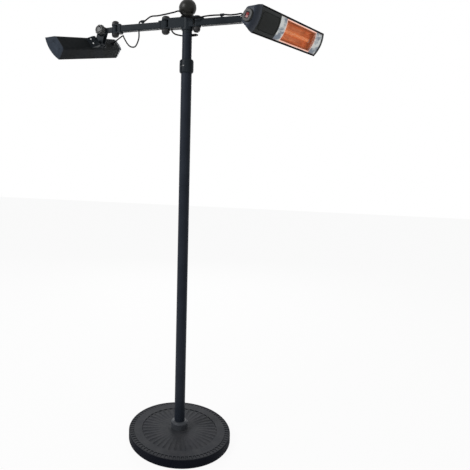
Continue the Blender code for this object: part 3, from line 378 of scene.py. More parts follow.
class Finish:
    """A material built up node by node on a Principled shader."""

    def __init__(self, name, **fixed):
        self.material = bpy.data.materials.new(name)
        self.material.use_nodes = True
        self.tree = self.material.node_tree
        self.shader = self.tree.nodes["Principled BSDF"]
        for socket, value in fixed.items():
            self.feed(socket.replace("_", " "), value)

    def join(self, target, value):
        if isinstance(value, Wire):
            self.tree.links.new(value.socket, target)
        else:
            target.default_value = value

    def node(self, kind, settings=None, sockets=None, output=0):
        made = self.tree.nodes.new("ShaderNode" + kind)
        for name, value in (settings or {}).items():
            setattr(made, name, value)
        for name, value in (sockets or {}).items():
            self.join(made.inputs[name], value)
        return Wire(self, made.outputs[output])

    def feed(self, socket, value):
        if not isinstance(value, Wire) and hasattr(value, "__len__") and len(value) == 3:
            value = (*value, 1)
        self.join(self.shader.inputs[socket], value)

    def object_place(self):
        return self.node("TexCoord", output="Object")

    def own_place(self):
        return self.node("Attribute", {"attribute_name": "own_place"}, output="Vector")

    def split(self, vector):
        return [self.node("SeparateXYZ", sockets={"Vector": vector}, output=axis) for axis in "XYZ"]

    def noise(self, place, scale, detail=2.0, rough=0.5):
        return self.node("TexNoise", sockets={"Vector": place, "Scale": scale, "Detail": detail,
                                              "Roughness": rough})

    def stretched(self, place, factors):
        return self.node("Mapping", sockets={"Vector": place, "Scale": factors})

    def mix(self, factor, one, other):
        """Mix two colours; a Mix node numbers its colour sockets 6 and 7, and its result 2."""
        colors = [color if isinstance(color, Wire) else (*color, 1) for color in (one, other)]
        return self.node("Mix", {"data_type": "RGBA"}, {0: factor, 6: colors[0], 7: colors[1]}, 2)

    def bump(self, height, distance):
        self.feed("Normal", self.node("Bump", sockets={"Height": height, "Distance": distance}))

    def facing_up(self):
        return self.split(self.node("NewGeometry", output="Normal"))[2].at_least(0)


print("shader maths ready")

# %% [markdown]
# Nearly all the metal is powder coated: a thin plastic skin baked on steel. It is close to
# black with a little blue in it, its surface has the fine ripple called orange peel, and fine
# dust lies on what faces up. The ripple is a bump from a millimetre noise, and the dust is
# the upward part of the surface's own normal, broken up by a wider noise.

# %% Powder coat
NEARLY_BLACK = (0.002, 0.002, 0.003)
COAT_DUST = (0.13, 0.13, 0.13)
ORANGE_PEEL = 0.00007            # metres, height of the ripple
RIM_EDGE = 0.0015                # width over which the rim's darkness comes on


def coat_finish(name, dark, light, rough, gloss=0.14, dusting=0.05, rim=None):
    """Powder coat; beyond a depth called rim the piece is nearly black."""
    made = Finish(name, Specular_IOR_Level=gloss)
    place = made.object_place()
    cloud = made.noise(place, 9, 3)
    grain = made.noise(place, 620, 2)
    lying = made.facing_up() ** 3 * made.noise(place, 26, 4).rise(0.35, 0.75) * dusting
    color = made.mix(cloud.rise(0.3, 0.7), dark, light)
    if rim:
        color = made.mix(made.split(made.own_place())[0].rise(rim - RIM_EDGE, rim), color, NEARLY_BLACK)
    made.feed("Base Color", made.mix(lying, color, COAT_DUST))
    made.feed("Roughness", rough + (made.noise(place, 44, 3) - 0.5) * 0.16 + lying)
    made.bump(grain + cloud * 2, ORANGE_PEEL)
    return made.material


COAT = coat_finish("powder_coat", (0.015, 0.019, 0.024), (0.022, 0.028, 0.034), 0.42, 0.08)
POLE_COAT = coat_finish("pole_coat", (0.021, 0.026, 0.036), (0.028, 0.034, 0.046), 0.42, 0.06)
HOUSING_COAT = coat_finish("housing_coat", (0.013, 0.015, 0.015), (0.018, 0.021, 0.024), 0.64, 0.03,
                           dusting=0.02, rim=0.0475)
BALL_COAT = coat_finish("ball_gloss", (0.004, 0.004, 0.003), (0.009, 0.009, 0.007), 0.38, 0.24,
                        dusting=0.02)
BOLT_COAT = coat_finish("bolt_coat", (0.030, 0.030, 0.031), (0.046, 0.046, 0.048), 0.36, 0.16)
SOCKET_COAT = coat_finish("socket_coat", (0.060, 0.065, 0.075), (0.080, 0.086, 0.096), 0.44)
print("powder coats made")

# %% [markdown]
# The base is a sand casting under the same kind of coat. Sand leaves a coarse grain, the coat wears thin in
# fine grey specks, and dust settles on what faces up. What does not face up, above all the side, is painted
# near black as painted shade.

# %% Coated cast iron
def iron_finish():
    made = Finish("coated_iron", Specular_IOR_Level=0.08)
    place = made.object_place()
    cloud = made.noise(place, 14, 4).rise(0.3, 0.72)
    sand = made.noise(place, 330, 5, 0.65)
    speck = made.noise(place, 900, 2).rise(0.62, 0.74)
    up = made.facing_up() ** 3
    lying = up * made.noise(place, 20, 5, 0.6).rise(0.3, 0.8)
    color = made.mix(cloud, (0.034, 0.037, 0.042), (0.047, 0.049, 0.056))
    # Painted shade: what does not face up turns near black.
    color = made.mix(up, (0.002, 0.003, 0.007), color)
    color = made.mix(lying * 0.14, color, (0.17, 0.165, 0.16))
    made.feed("Base Color", made.mix(speck * 0.22, color, (0.16, 0.16, 0.16)))
    made.feed("Roughness", 0.60 + cloud * 0.10 + sand * 0.10)
    made.bump(sand + speck * 0.4, 0.00022)
    return made.material


IRON = iron_finish()
print("coated iron made")

# %% [markdown]
# Caps, knobs and the service panel are moulded in a black plastic that leans to blue. A
# spark-eroded mould leaves an even, fine grain; rubber is flatter and has no sheen.

# %% Plastics and rubber
def moulded_finish(name, dark, light, rough, grain=520, depth=0.00005, gloss=0.15,
                   mask=None, beyond=None, **fixed):
    """Plastic or rubber; where a mask of the piece's own place is one, the colour is another."""
    made = Finish(name, Specular_IOR_Level=gloss, **fixed)
    place = made.object_place()
    cloud = made.noise(place, 18, 2)
    pits = made.node("TexVoronoi", {"feature": "SMOOTH_F1"}, {"Vector": place, "Scale": grain})
    color = made.mix(cloud.rise(0.3, 0.7), dark, light)
    if mask:
        color = made.mix(mask(*made.split(made.own_place())), color, beyond)
    made.feed("Base Color", color)
    made.feed("Roughness", rough + (cloud - 0.5) * 0.14)
    made.bump(pits, depth)
    return made.material


PLASTIC = moulded_finish("moulded_plastic_grain", (0.022, 0.024, 0.025), (0.034, 0.036, 0.037), 0.34,
                         gloss=0.35)
BOSS_PLASTIC = moulded_finish("boss_plastic_grain", (0.010, 0.012, 0.012), (0.016, 0.018, 0.018), 0.36,
                              gloss=0.25)
CAP_PLASTIC = moulded_finish("cap_plastic_grain", (0.036, 0.044, 0.060), (0.048, 0.058, 0.080), 0.42)
RUBBER = moulded_finish("lead_rubber_skin", (0.004, 0.004, 0.0045), (0.008, 0.008, 0.009), 0.56,
                        grain=380, gloss=0.05)
CERAMIC = moulded_finish("lamp_ceramic_body", (0.74, 0.71, 0.64), (0.84, 0.81, 0.74), 0.62, grain=700)
SWITCH_RED = moulded_finish("switch_red_plastic", (0.20, 0.012, 0.016), (0.32, 0.03, 0.03), 0.34,
                            grain=900, depth=0.00001, gloss=0.4, Coat_Weight=0.15, Coat_Roughness=0.3)
print("plastics made")

# %% [markdown]
# Zinc plating on the hidden plate and the screws is a bright metal with a faint spangle. The
# ballast is cast concrete, pale and pitted.

# %% Zinc and concrete
def zinc_finish():
    made = Finish("zinc_plate", Metallic=1.0)
    place = made.object_place()
    spangle = made.node("TexVoronoi", {"feature": "F1"}, {"Vector": place, "Scale": 260}, "Distance")
    cloud = made.noise(place, 60, 3)
    made.feed("Base Color", made.mix(cloud, (0.50, 0.51, 0.52), (0.66, 0.66, 0.65)))
    made.feed("Roughness", 0.26 + spangle * 0.2 + cloud * 0.1)
    made.bump(spangle, 0.00003)
    return made.material


def concrete_finish():
    made = Finish("ballast_concrete_body", Specular_IOR_Level=0.3)
    place = made.object_place()
    sand, stones = made.noise(place, 240, 6, 0.7), made.noise(place, 40, 3)
    made.feed("Base Color", made.mix(stones.rise(0.3, 0.7), (0.30, 0.29, 0.27), (0.44, 0.43, 0.40)))
    made.feed("Roughness", 0.84 + sand * 0.14)
    made.bump(sand, 0.0006)
    return made.material


ZINC, CONCRETE = zinc_finish(), concrete_finish()
print("zinc and concrete made")

# %% [markdown]
# The reflector is bright rolled aluminium: fine lines run along the head, and the sheet is never quite flat.
# Inside the trough the lamp's light is painted into the colour: where the sheet drops behind the front it turns
# from silver to orange-brown and gives off a painted glow, and its walls are darker with painted shadow. The
# pattern reads the piece's own coordinates, so both heads have it along their own length.

# %% Aluminium, guard and lamp
HEAD_DEPTH = side_span("right", "housing", "head")[1].x


def aluminium_finish(front):
    """Silver at the front's depth; behind it, painted lamp light, painted shadow on the walls and a painted
    glow.
    """
    made = Finish("rolled_aluminium", Metallic=1.0)
    place = made.own_place()
    depth = made.split(place)[0]
    lines = made.noise(made.stretched(place, (1, 0.02, 1)), 900, 2)
    cloud = made.noise(place, 24, 3)
    patches = made.noise(made.stretched(place, (1, 0.4, 1)), 34, 3, 0.6).rise(0.40, 0.56)
    streak = made.noise(made.stretched(place, (1, 0.25, 1)), 70, 3).rise(0.36, 0.64)
    # Painted light: behind the front the colour takes the lamp's light, with lighter streaks along the lines,
    # and the walls get painted shadow.
    painted_lamp_light_mask = 1 - depth.rise(front - 0.006, front + 0.001)
    wall = depth.rise(front - 0.030, front - 0.010)
    floor_lines = lines * (1 - wall)
    silver = made.mix(patches, (0.17, 0.20, 0.24), (0.55, 0.57, 0.56))
    painted_lamp_light = made.mix(streak, (0.27, 0.055, 0.018), (0.56, 0.19, 0.075))
    painted_lamp_light = made.mix(wall, painted_lamp_light, (0.08, 0.018, 0.007))
    trough = made.mix(floor_lines, painted_lamp_light, (0.62, 0.25, 0.12))
    glow = made.mix(floor_lines, painted_lamp_light, (0.42, 0.14, 0.06))
    made.feed("Base Color", made.mix(painted_lamp_light_mask, silver, trough))
    made.feed("Roughness", 0.20 + lines * 0.14 + cloud * 0.06)
    # A painted glow, though the sheet is no lamp.
    made.feed("Emission Color", made.mix(painted_lamp_light_mask, (0, 0, 0), glow))
    made.feed("Emission Strength", 0.44)
    made.bump(lines * 0.3 + cloud, 0.0004)
    return made.material


def guard_finish(low, high, half):
    """Pale pink on the frame, painted shade at its inner ends, and orange-brown on the wires; the pink, the
    wires' colour and a glow are painted lamp light.
    """
    made = Finish("guard_wire", Metallic=1.0)
    place = made.own_place()
    smut = made.noise(place, 90, 3)
    along, across = made.split(place)[1:]
    from_end = (along - low).size().at_most((along - high).size())
    between = (along - low).at_most(high - along)
    off_middle = across.size()
    wires = (1 - off_middle.rise(half - 0.0012, half - 0.0004)) * between.rise(0.0004, 0.0012)
    # Painted shade at the window's inner ends.
    painted_end_shade = (1 - off_middle.rise(half - 0.002, half)) * (1 - from_end.rise(0.0016, 0.0026))
    pale = made.mix(smut, (0.78, 0.44, 0.34), (0.90, 0.58, 0.47))
    pale_glow = made.mix(smut, (0.66, 0.30, 0.22), (0.80, 0.42, 0.32))
    painted_lamp_tint, glow = made.mix(wires, pale, (0.44, 0.15, 0.065)), made.mix(wires, pale_glow, (0.34, 0.10, 0.04))
    made.feed("Base Color", made.mix(painted_end_shade, painted_lamp_tint, (0.07, 0.016, 0.007)))
    made.feed("Roughness", 0.30 + smut * 0.2)
    # A painted glow, though the guard is no lamp.
    made.feed("Emission Color", made.mix(painted_end_shade, glow, (0, 0, 0)))
    made.feed("Emission Strength", 0.30)
    return made.material


def lamp_finish():
    """Ruby-coated quartz over a glowing coil, whose turns show through as bands."""
    made = Finish("ruby_lamp", Coat_Weight=0.6, Coat_Roughness=0.08, Roughness=0.25)
    along = made.split(made.own_place())[1]
    coil = ((along * 1900).wave() * 0.5 + 0.5).rise(0.1, 0.9)
    patchy = made.noise(made.own_place(), 60, 3)
    made.feed("Base Color", made.mix(coil, (0.62, 0.16, 0.05), (0.95, 0.42, 0.16)))
    made.feed("Emission Color", made.mix(coil * patchy, (0.75, 0.17, 0.05), (1.0, 0.52, 0.20)))
    made.feed("Emission Strength", 0.7)
    return made.material


ALUMINIUM, LAMP = aluminium_finish(HEAD_DEPTH), lamp_finish()
print("aluminium and lamp made")

# %% [markdown]
# The four leads are black rubber cable, 7 mm across, and they are held at both ends by clips and glands. A tube
# is swept along each route: a circle is extruded from point to point and turned with the curve. Where a lead
# crosses a joint it is split into parts.

# %% Leads
LEAD = 0.0035                    # radius
LEAD_SIDES = 16


def pushed_edges(bm, edges):
    """Extrude edges: the new corners, and the new edges between them."""
    pushed = bmesh.ops.extrude_edge_only(bm, edges=edges)["geom"]
    corners = [item for item in pushed if isinstance(item, bmesh.types.BMVert)]
    return corners, [item for item in pushed if isinstance(item, bmesh.types.BMEdge)
                     and all(corner in corners for corner in item.verts)]


def swept(points, radius, sides):
    """A tube along points: each ring of edges is extruded and turned with the curve."""
    courses = [(after - before).normalized() for before, after in zip(points, points[1:])]
    courses = [courses[0], *[(a + b).normalized() for a, b in zip(courses, courses[1:])], courses[-1]]
    bm = bmesh.new()
    turn = UP.rotation_difference(courses[0]).to_matrix().to_4x4()
    bmesh.ops.create_circle(bm, segments=sides, radius=radius, matrix=Matrix.Translation(points[0]) @ turn)
    edges = list(bm.edges)
    bmesh.ops.contextual_create(bm, geom=edges)
    for (start, course), (end, heading) in zip(zip(points, courses), zip(points[1:], courses[1:])):
        corners, edges = pushed_edges(bm, edges)
        bmesh.ops.rotate(bm, verts=corners, cent=start, matrix=course.rotation_difference(heading).to_matrix())
        bmesh.ops.translate(bm, verts=corners, vec=end - start)
    bmesh.ops.contextual_create(bm, geom=edges)
    return settled(bm)


def smooth_route(knots, step=0.004):
    """Points every few millimetres on a smooth curve through the knots."""
    knots = [Vector(knot) for knot in knots]
    knots = [knots[0] * 2 - knots[1], *knots, knots[-1] * 2 - knots[-2]]
    points = [knots[1]]
    for before, start, end, after in zip(knots, knots[1:], knots[2:], knots[3:]):
        length = (end - start).length
        leaving = course_at(before, start, end) * length
        arriving = course_at(start, end, after) * length
        count = max(2, round(length / step))
        for number in range(1, count + 1):
            t = number / count
            points.append(start * (2 * t ** 3 - 3 * t ** 2 + 1) + leaving * (t ** 3 - 2 * t ** 2 + t)
                          + end * (3 * t ** 2 - 2 * t ** 3) + arriving * (t ** 3 - t ** 2))
    return points


def course_at(before, at, after):
    into, out = at - before, after - at
    return (into.normalized() * out.length + out.normalized() * into.length) / (into.length + out.length)


ARM_LEVEL = places["left"]["arm"].translation.z
LEFT_LOOP = ((-0.2306, 0.0, 0.0285), (-0.2370, 0.0, 0.0285), (-0.2500, 0.0140, 0.0280),
             (-0.2560, 0.0250, 0.0065), (-0.2600, 0.0340, -0.0425), (-0.2840, 0.0550, -0.0720),
             (-0.3220, 0.0880, -0.0670), (-0.3560, 0.1200, -0.0430), (-0.3900, 0.1460, 0.0005),
             (-0.4020, 0.1630, 0.0145), (-0.4275, 0.1693, 0.0038), (-0.4531, 0.1732, -0.0108))
TOP_RUN = ((-0.2303, 0.0, 0.0285), (-0.2180, 0.0, 0.0285), (-0.2080, -0.0010, 0.0345),
           (-0.1859, -0.0040, 0.0460), (-0.1443, -0.0100, 0.0462), (-0.1025, -0.0200, 0.0468),
           (-0.0598, -0.0340, 0.0471), (-0.0239, -0.0460, 0.0449), (-0.0178, -0.0480, 0.0379),
           (-0.0061, -0.0460, 0.0262), (0.0169, -0.0400, 0.0180), (0.0483, -0.0300, 0.0150),
           (0.0955, -0.0160, 0.0240), (0.1252, -0.0040, 0.0285), (0.1570, 0.0, 0.0285),
           (0.1693, 0.0, 0.0285))
RIGHT_LOOP = ((0.1696, 0.0, 0.0285), (0.1770, 0.0, 0.0285), (0.2000, -0.0010, 0.0250),
              (0.2300, -0.0060, 0.0232), (0.2550, -0.0220, 0.0200), (0.2700, -0.0580, 0.0040),
              (0.2760, -0.1000, -0.0165), (0.2790, -0.1380, -0.0275), (0.2880, -0.1650, -0.0320),
              (0.3035, -0.1750, -0.0380), (0.3282, -0.1852, -0.0510))
UNDER_RUN = ((-0.0760, 0.0, -0.0198), (-0.0760, 0.0, -0.0265), (-0.0680, 0.0130, -0.0370),
             (-0.0420, 0.0310, -0.0430), (-0.0140, 0.0410, -0.0450), (0.0160, 0.0400, -0.0465),
             (0.0380, 0.0280, -0.0490), (0.0470, 0.0120, -0.0515), (0.0400, 0.0, -0.0520),
             (0.0310, 0.0, -0.0520), (0.0234, 0.0, -0.0520))


def at_arms(route):
    """A route with heights from the floor instead of from the arms' centre line."""
    return [(x, y, ARM_LEVEL + z) for x, y, z in route]


def bent_lead(name, node, points):
    """A part of a lead, swept along its points; it hides the lead's solid and stays where it is made."""
    made = dressed(name, swept(points, LEAD, LEAD_SIDES), RUBBER, stands_for=node)
    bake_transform(made)


def lead_parts(node, route, chain):
    """Split a lead at the chain's knots, and sweep each part."""
    knots = at_arms(route)
    points = smooth_route(knots)
    cuts = [0, *[min(range(len(points)), key=lambda at: (points[at] - Vector(knots[knot])).length)
                 for knot, _ in chain[:-1]], len(points) - 1]
    for letter, (_, bodies), start, end in zip("abc", chain, cuts, cuts[1:]):
        part = points[start:end + 1]
        bent_lead(f"{node}_{letter}", node, part)


lead_parts("top_lead", TOP_RUN, [(7, ("left_arm", "mast")), (15, ("mast", "right_arm"))])
for side, route, knots in (("left", LEFT_LOOP, (6, 8, 11)), ("right", RIGHT_LOOP, (6, 8, 10))):
    bodies = [f"{side}_{body}" for body in ("arm", "swivel", "tilt", "head")]
    lead_parts(side + "_lead_loop", route, list(zip(knots, zip(bodies, bodies[1:]))))
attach(dressed("under_lead_run", swept(smooth_route(at_arms(UNDER_RUN)), LEAD, LEAD_SIDES), RUBBER,
                stands_for="under_lead"), "mast")

# %% [markdown]
# The base is one round iron casting. Its top carries a sunburst: forty shallow flutes that
# deepen outwards and end in a small step, a plain band, and a rim of short radial slots. The
# profile is turned with enough sides to hold the slots, and the points of the top are then
# lowered by the depth of the pattern at their place.

# %% Base casting
BASE_RADIUS = 0.250
FOOT_RADIUS = 0.243
TUCK = 0.007                     # radius of the side's turn to the foot
CREST = 0.0045                   # radius of the side's turn to the top
TOP_LEVEL = 0.043
CEILING = 0.035                  # roof of the hollow underneath
SKIRT = 0.008                    # thickness of the side
CROWN = 0.004                    # rise of the top towards the pole
BOLT_HOLE = 0.0063
HUB = 0.050                      # radius of the socket's seat, and its level
FLUTES, FLUTE_DEPTH, FLUTE_START, FLUTE_END = 40, 0.0037, 0.075, 0.185
CLIFF = FLUTE_END - 0.0022       # where the small step begins that ends the flutes
SLOTS, SLOT_DEPTH, SLOT_IN, SLOT_OUT = 80, 0.0024, 0.2245, 0.2435
SLOT_STEPS = 8                   # sides of the casting for a slot and its web


def top_level(reach):
    return TOP_LEVEL + CROWN * (1 - reach / BASE_RADIUS)


def pattern_depth(reach, turn):
    """How deep the sunburst and the slots are at a place on the top."""
    if FLUTE_START < reach < FLUTE_END:
        deep = min((reach - FLUTE_START) / (CLIFF - FLUTE_START), (FLUTE_END - reach) / (FLUTE_END - CLIFF))
        return FLUTE_DEPTH * deep * abs(math.sin(turn * FLUTES / 2)) ** 0.8
    phase = round(turn / math.tau * SLOTS * SLOT_STEPS) % SLOT_STEPS
    if SLOT_IN < reach < SLOT_OUT and 2 <= phase <= 6:
        return SLOT_DEPTH
    return 0


radii = [HUB + 0.0075, 0.066, FLUTE_START, *[FLUTE_START + 0.0108 * step for step in range(1, 10)],
         CLIFF, FLUTE_END, 0.195, 0.205, 0.214, 0.2205, SLOT_IN, SLOT_IN + 0.0012, SLOT_IN + 0.004,
         SLOT_OUT - 0.004, SLOT_OUT - 0.0012, SLOT_OUT, 0.2447]
profile = [(BOLT_HOLE, HUB), (HUB - 0.0012, HUB), (HUB, HUB - 0.0006),
           *[(reach, top_level(reach)) for reach in radii],
           *arc((BASE_RADIUS - CREST, TOP_LEVEL - CREST), CREST, math.pi / 2, 0, 6),
           *arc((BASE_RADIUS - TUCK, TUCK), TUCK, 0, -math.pi / 2, 6)[:-1], (FOOT_RADIUS, 0),
           (FOOT_RADIUS - SKIRT, 0), (BASE_RADIUS - SKIRT, CEILING), (BOLT_HOLE, CEILING)]
casting = ring(profile, SLOTS * SLOT_STEPS)
for point in casting.verts:
    if point.co.z > TOP_LEVEL - 0.001:
        point.co.z -= pattern_depth(point.co.xy.length, math.atan2(point.co.y, point.co.x))
mounted("base_shell", casting, "base", IRON, stands_for="base_casting")

# %% [markdown]
# The pole is three drawn tubes that plug into each other, so each joint shows as a fine line
# between two small chamfers. The lowest stands in a turned socket ring, and a gland for the
# mains cable sits low on its back.

# %% Pole, socket ring and gland
POLE = span("pole_middle")[1].x
CHAMFER = 0.0006
POLE_WALL = 0.0018
PLUG = 0.050                     # length of a tube's narrow end, inside the next tube


def tube_section(part):
    low, high = span("pole_" + part)
    top = high.z if part == "upper" else high.z - PLUG
    bore = POLE - POLE_WALL
    section = ring(((bore, low.z), (POLE - CHAMFER, low.z), (POLE, low.z + CHAMFER), (POLE, top - CHAMFER),
                    (POLE - CHAMFER, top), (bore, top)), FINE)
    mounted(part + "_tube", section, "base", POLE_COAT, stands_for="pole_" + part)


for part in ("lower", "middle", "upper"):
    tube_section(part)

low, high = span("base_socket")
outside, inside = high.x, POLE + GAP
socket = ring(((inside, low.z), (outside - 0.0005, low.z), (outside, low.z + 0.0005),
               (outside, high.z - 0.0090), (outside - 0.0004, high.z - 0.0080),
               (outside - 0.0084, high.z - 0.0003), (outside - 0.0092, high.z), (inside, high.z)), FINE)
mounted("socket_ring", socket, "base", SOCKET_COAT, stands_for="base_socket")

bore, stem, flange, level = 0.00425, 0.0067, 0.012, 0.150
ribs = [(0.0074 - 0.0006 * (step % 2), POLE + 0.006 + 0.0016 * step) for step in range(9)]
gland = ring(((bore, 0.0225), (stem, 0.0225), (stem, POLE), (flange, POLE + GAP), (flange, POLE + 0.0035),
              (0.0112, POLE + 0.0043), (0.0078, POLE + 0.005), *ribs, (bore, POLE + 0.0200)), ROUND)
mounted("mains_gland_body", laid(gland, "y", (0, 0, level)), "base", RUBBER, stands_for="mains_gland")

# %% [markdown]
# On the pole's top a split collar clamps the mast. Its slot is closed by one sunk screw. The
# collar is turned with deep chamfers, and the slot and the screw's pocket are cut out of it.

# %% Clamp collar and screw
low, high = span("clamp_collar")
outside, slope, rise = high.x, 0.0032, 0.006
collar = ring(((inside, low.z), (outside - slope, low.z), (outside, low.z + rise), (outside, high.z - rise),
               (outside - slope, high.z), (inside, high.z)), FINE)
SPLIT = Matrix.Rotation(math.radians(-120), 4, "Z")
screw_place = (inside + (outside - inside) * 0.62, 0, (low.z + high.z) / 2)


def at_split(bm):
    """Turn a shape that was made on the X axis to where the collar is split."""
    bmesh.ops.transform(bm, matrix=SPLIT, verts=bm.verts)
    return bm


slit = at_split(block((inside - OVERRUN, -0.0015, low.z - OVERRUN),
                      (outside + OVERRUN, 0.0015, high.z + OVERRUN)))
pocket = at_split(laid(rod(0.0032, 0.0087, 0.030), "y", screw_place))
bored = at_split(laid(rod(0.0020, -0.0130, 0.0090), "y", screw_place))
collar = eased(worked(collar, (CUT, slit), (CUT, bored), (CUT, pocket)), 0.0006)
mounted("collar_ring", collar, "base", COAT, stands_for="clamp_collar")
cap_screw = ring(((0, -0.009), (0.0017, -0.009), (0.0017, 0.009), (0.0029, 0.009), (0.0029, 0.0120),
                  (0.0024, 0.0125), (0, 0.0125)), SMALL)
hexagon = rod(0.0015, 0.0105, 0.020, 6)
mounted("collar_cap_screw", at_split(laid(worked(cap_screw, (CUT, hexagon)), "y", screw_place)), "base", ZINC,
        stands_for="clamp_screw")

# %% [markdown]
# The mast slides in the pole. Its post carries the two forks that hold the arms, a ledge
# under them, and the ball on a flared neck that closes the top.

# %% Mast, post and ball
low, high = span("mast_tube")
MAST, MAST_WALL, BROKEN = high.x, 0.002, 0.0004
bore = MAST - MAST_WALL
tube = ring(((bore, low.z), (MAST - BROKEN, low.z), (MAST, low.z + BROKEN), (MAST, high.z - BROKEN),
             (MAST - BROKEN, high.z), (bore, high.z)), FINE)
mounted("mast_tube_drawn", tube, "mast", POLE_COAT, stands_for="mast_tube")

low, high = span("mast_post")
ledge_low, ledge_high, ledge = 1.9847, 1.9967, 0.027
bolt_hole, plug, plug_top = 0.0053, MAST - 0.0025, 1.9698
post = ring(((bolt_hole, low.z), (plug, low.z), (plug, plug_top), (MAST, plug_top), (MAST, ledge_low),
             (ledge - 0.001, ledge_low), (ledge, ledge_low + 0.001), (ledge, ledge_high - 0.001),
             (ledge - 0.001, ledge_high), (MAST, ledge_high), (MAST, high.z), (bolt_hole, high.z)), FINE)
mounted("mast_post_turned", post, "mast", COAT, stands_for="mast_post")

low, high = span("ball_cap")
neck_low, neck_high, ball, stud = 2.0453, 2.0583, 0.0415, 0.005
centre = high.z - ball
shell = arc((0, centre), ball, math.asin((neck_high - centre) / ball), math.pi / 2, 30)
neck = [(0.0345 - 0.0060 * math.sin(math.pi / 2 * step / 8) ** 1.4, neck_low + 0.0016 + 0.0114 * step / 8)
        for step in range(9)]
ball_shape = ring([(0, low.z), (stud, low.z), (stud, neck_low), (0.0339, neck_low), *neck, *shell[1:-1],
                   (0, high.z)], FINE)
mounted("ball_with_neck", ball_shape, "mast", BALL_COAT, stands_for="ball_cap")

# %% [markdown]
# Each arm hangs between two forks. A fork is a block with a round end, sawn down the middle
# and bored for its pin; its edges are broken with a file, which catches the light.

# %% Forks
PIN = 0.005
EAR = 0.006                      # thickness of a fork's ears
INNER_CROTCH = {"left": 0.0180, "right": 0.0142}
OUTER_CROTCH = 0.0183


def round_ended(flat, centre, half, steps=18):
    """An outline with a flat edge at one end and half a circle at the other."""
    facing = math.copysign(1, centre - flat)
    spread = [math.pi * (step / steps - 0.5) for step in range(steps + 1)]
    curve = [(centre + facing * half * math.cos(a), half * math.sin(a)) for a in spread]
    return [(flat, -half), *curve, (flat, half)]


def fork_shape(flat, pin, half, low, high, crotch):
    facing = math.copysign(1, pin - flat)
    back, front = sorted((pin - facing * crotch, pin + facing * (half + OVERRUN)))
    body = slab(round_ended(flat, pin, half), low, high)
    slot = block((back, -half - OVERRUN, low + EAR), (front, half + OVERRUN, high - EAR))
    return eased(worked(body, (CUT, slot)), 0.0011)


def pin_bore(place, low, high):
    return laid(rod(PIN + GAP, low - OVERRUN, high + OVERRUN), "z", (place, 0, 0))


def bracket(side):
    low, high = side_span(side, "bracket", "side")
    half = 0.0207
    pin = high.x - half
    fork = fork_shape(0, pin, half, low.z, high.z, INNER_CROTCH[side])
    hollow = rod(MAST + GAP, low.z - OVERRUN, high.z + OVERRUN, FINE)
    shape = worked(fork, (CUT, hollow), (CUT, pin_bore(pin, low.z, high.z)))
    mounted(side + "_mast_fork", shape, "mast", COAT, places[side]["side"], side + "_bracket")


def outer_fork(side):
    low, high = side_span(side, "fork", "arm")
    half, shoulder, thick = 0.0187, 0.230, 0.0129
    pin = high.x - half
    fork = fork_shape(shoulder, pin, half, low.z, high.z, OUTER_CROTCH)
    tongue = eased(block((low.x, -thick, -thick), (shoulder + OVERRUN, thick, thick)), 0.001)
    shape = worked(fork, (JOIN, tongue), (CUT, pin_bore(pin, low.z, high.z)))
    fitted(side, "outer_fork", shape, "arm", COAT, "fork")


for side in SIDES:
    bracket(side)
    outer_fork(side)

# %% [markdown]
# The hinge pins end in a domed head above and a domed cap nut below. Both are turned: a thin
# washer face, a straight band, and then the dome. Only the right arm's inner pin has a head
# that is nearly flat.

# %% Hinge bolts
ARM_LENGTH = 0.264               # between an arm's two pins
BOLT_RADIUS = {"left_inner": 0.0203, "right_inner": 0.0180, "left_outer": 0.0187, "right_outer": 0.0187}
BOLT_SEATS = {"inner": (-0.0195 - GAP, 0.0285 + GAP), "outer": (-0.0215 - GAP, 0.0215 + GAP)}
FLAT_HEAD = {"right_inner": 0.0045}


def domed(radius, start, height, facing):
    """Half of a bolt's profile, from its washer face to the top of its dome."""
    band = height * 0.22
    rise = height - band
    washer = [(radius - 0.0009, start), (radius, start + facing * 0.0009)]
    curve = [(x ** 0.7, z ** 0.85) for x, z in arc((0, 0), 1, 0, math.pi / 2, 14)[:-1]]
    dome = [(x * (radius - 0.0006), start + facing * (band + z * rise)) for x, z in curve]
    return [*washer, *dome, (0, start + facing * height)]


def hinge_bolt(side, name, along):
    low, high = side_span(side, name + "_bolt", "arm")
    radius = BOLT_RADIUS[f"{side}_{name}"]
    bottom, top = BOLT_SEATS[name]
    head = domed(radius, top, FLAT_HEAD.get(f"{side}_{name}", high.z - top), 1)
    nut = domed(radius, bottom, bottom - low.z, -1)
    shape = ring([*reversed(nut), (PIN, bottom), (PIN, top), *head], ROUND)
    fitted(side, name + "_hinge_pin", laid(shape, "z", (along, 0, 0)), "arm", BOLT_COAT, name + "_bolt")


for side in SIDES:
    hinge_bolt(side, "inner", 0)
    hinge_bolt(side, "outer", ARM_LENGTH)

# %% [markdown]
# The arm itself is square tube with a barrel welded on for the inner pin. Half way along it
# a ring on a stem is welded to its top and holds the lead clear of the arm.

# %% Arms
ARM_HALF, ARM_WALL = 0.0155, 0.002
TUBE_START, TUBE_END = 0.0245, 0.2297
RING_SPOT, RING_LEVEL = 0.118, ARM_HALF + 0.0130


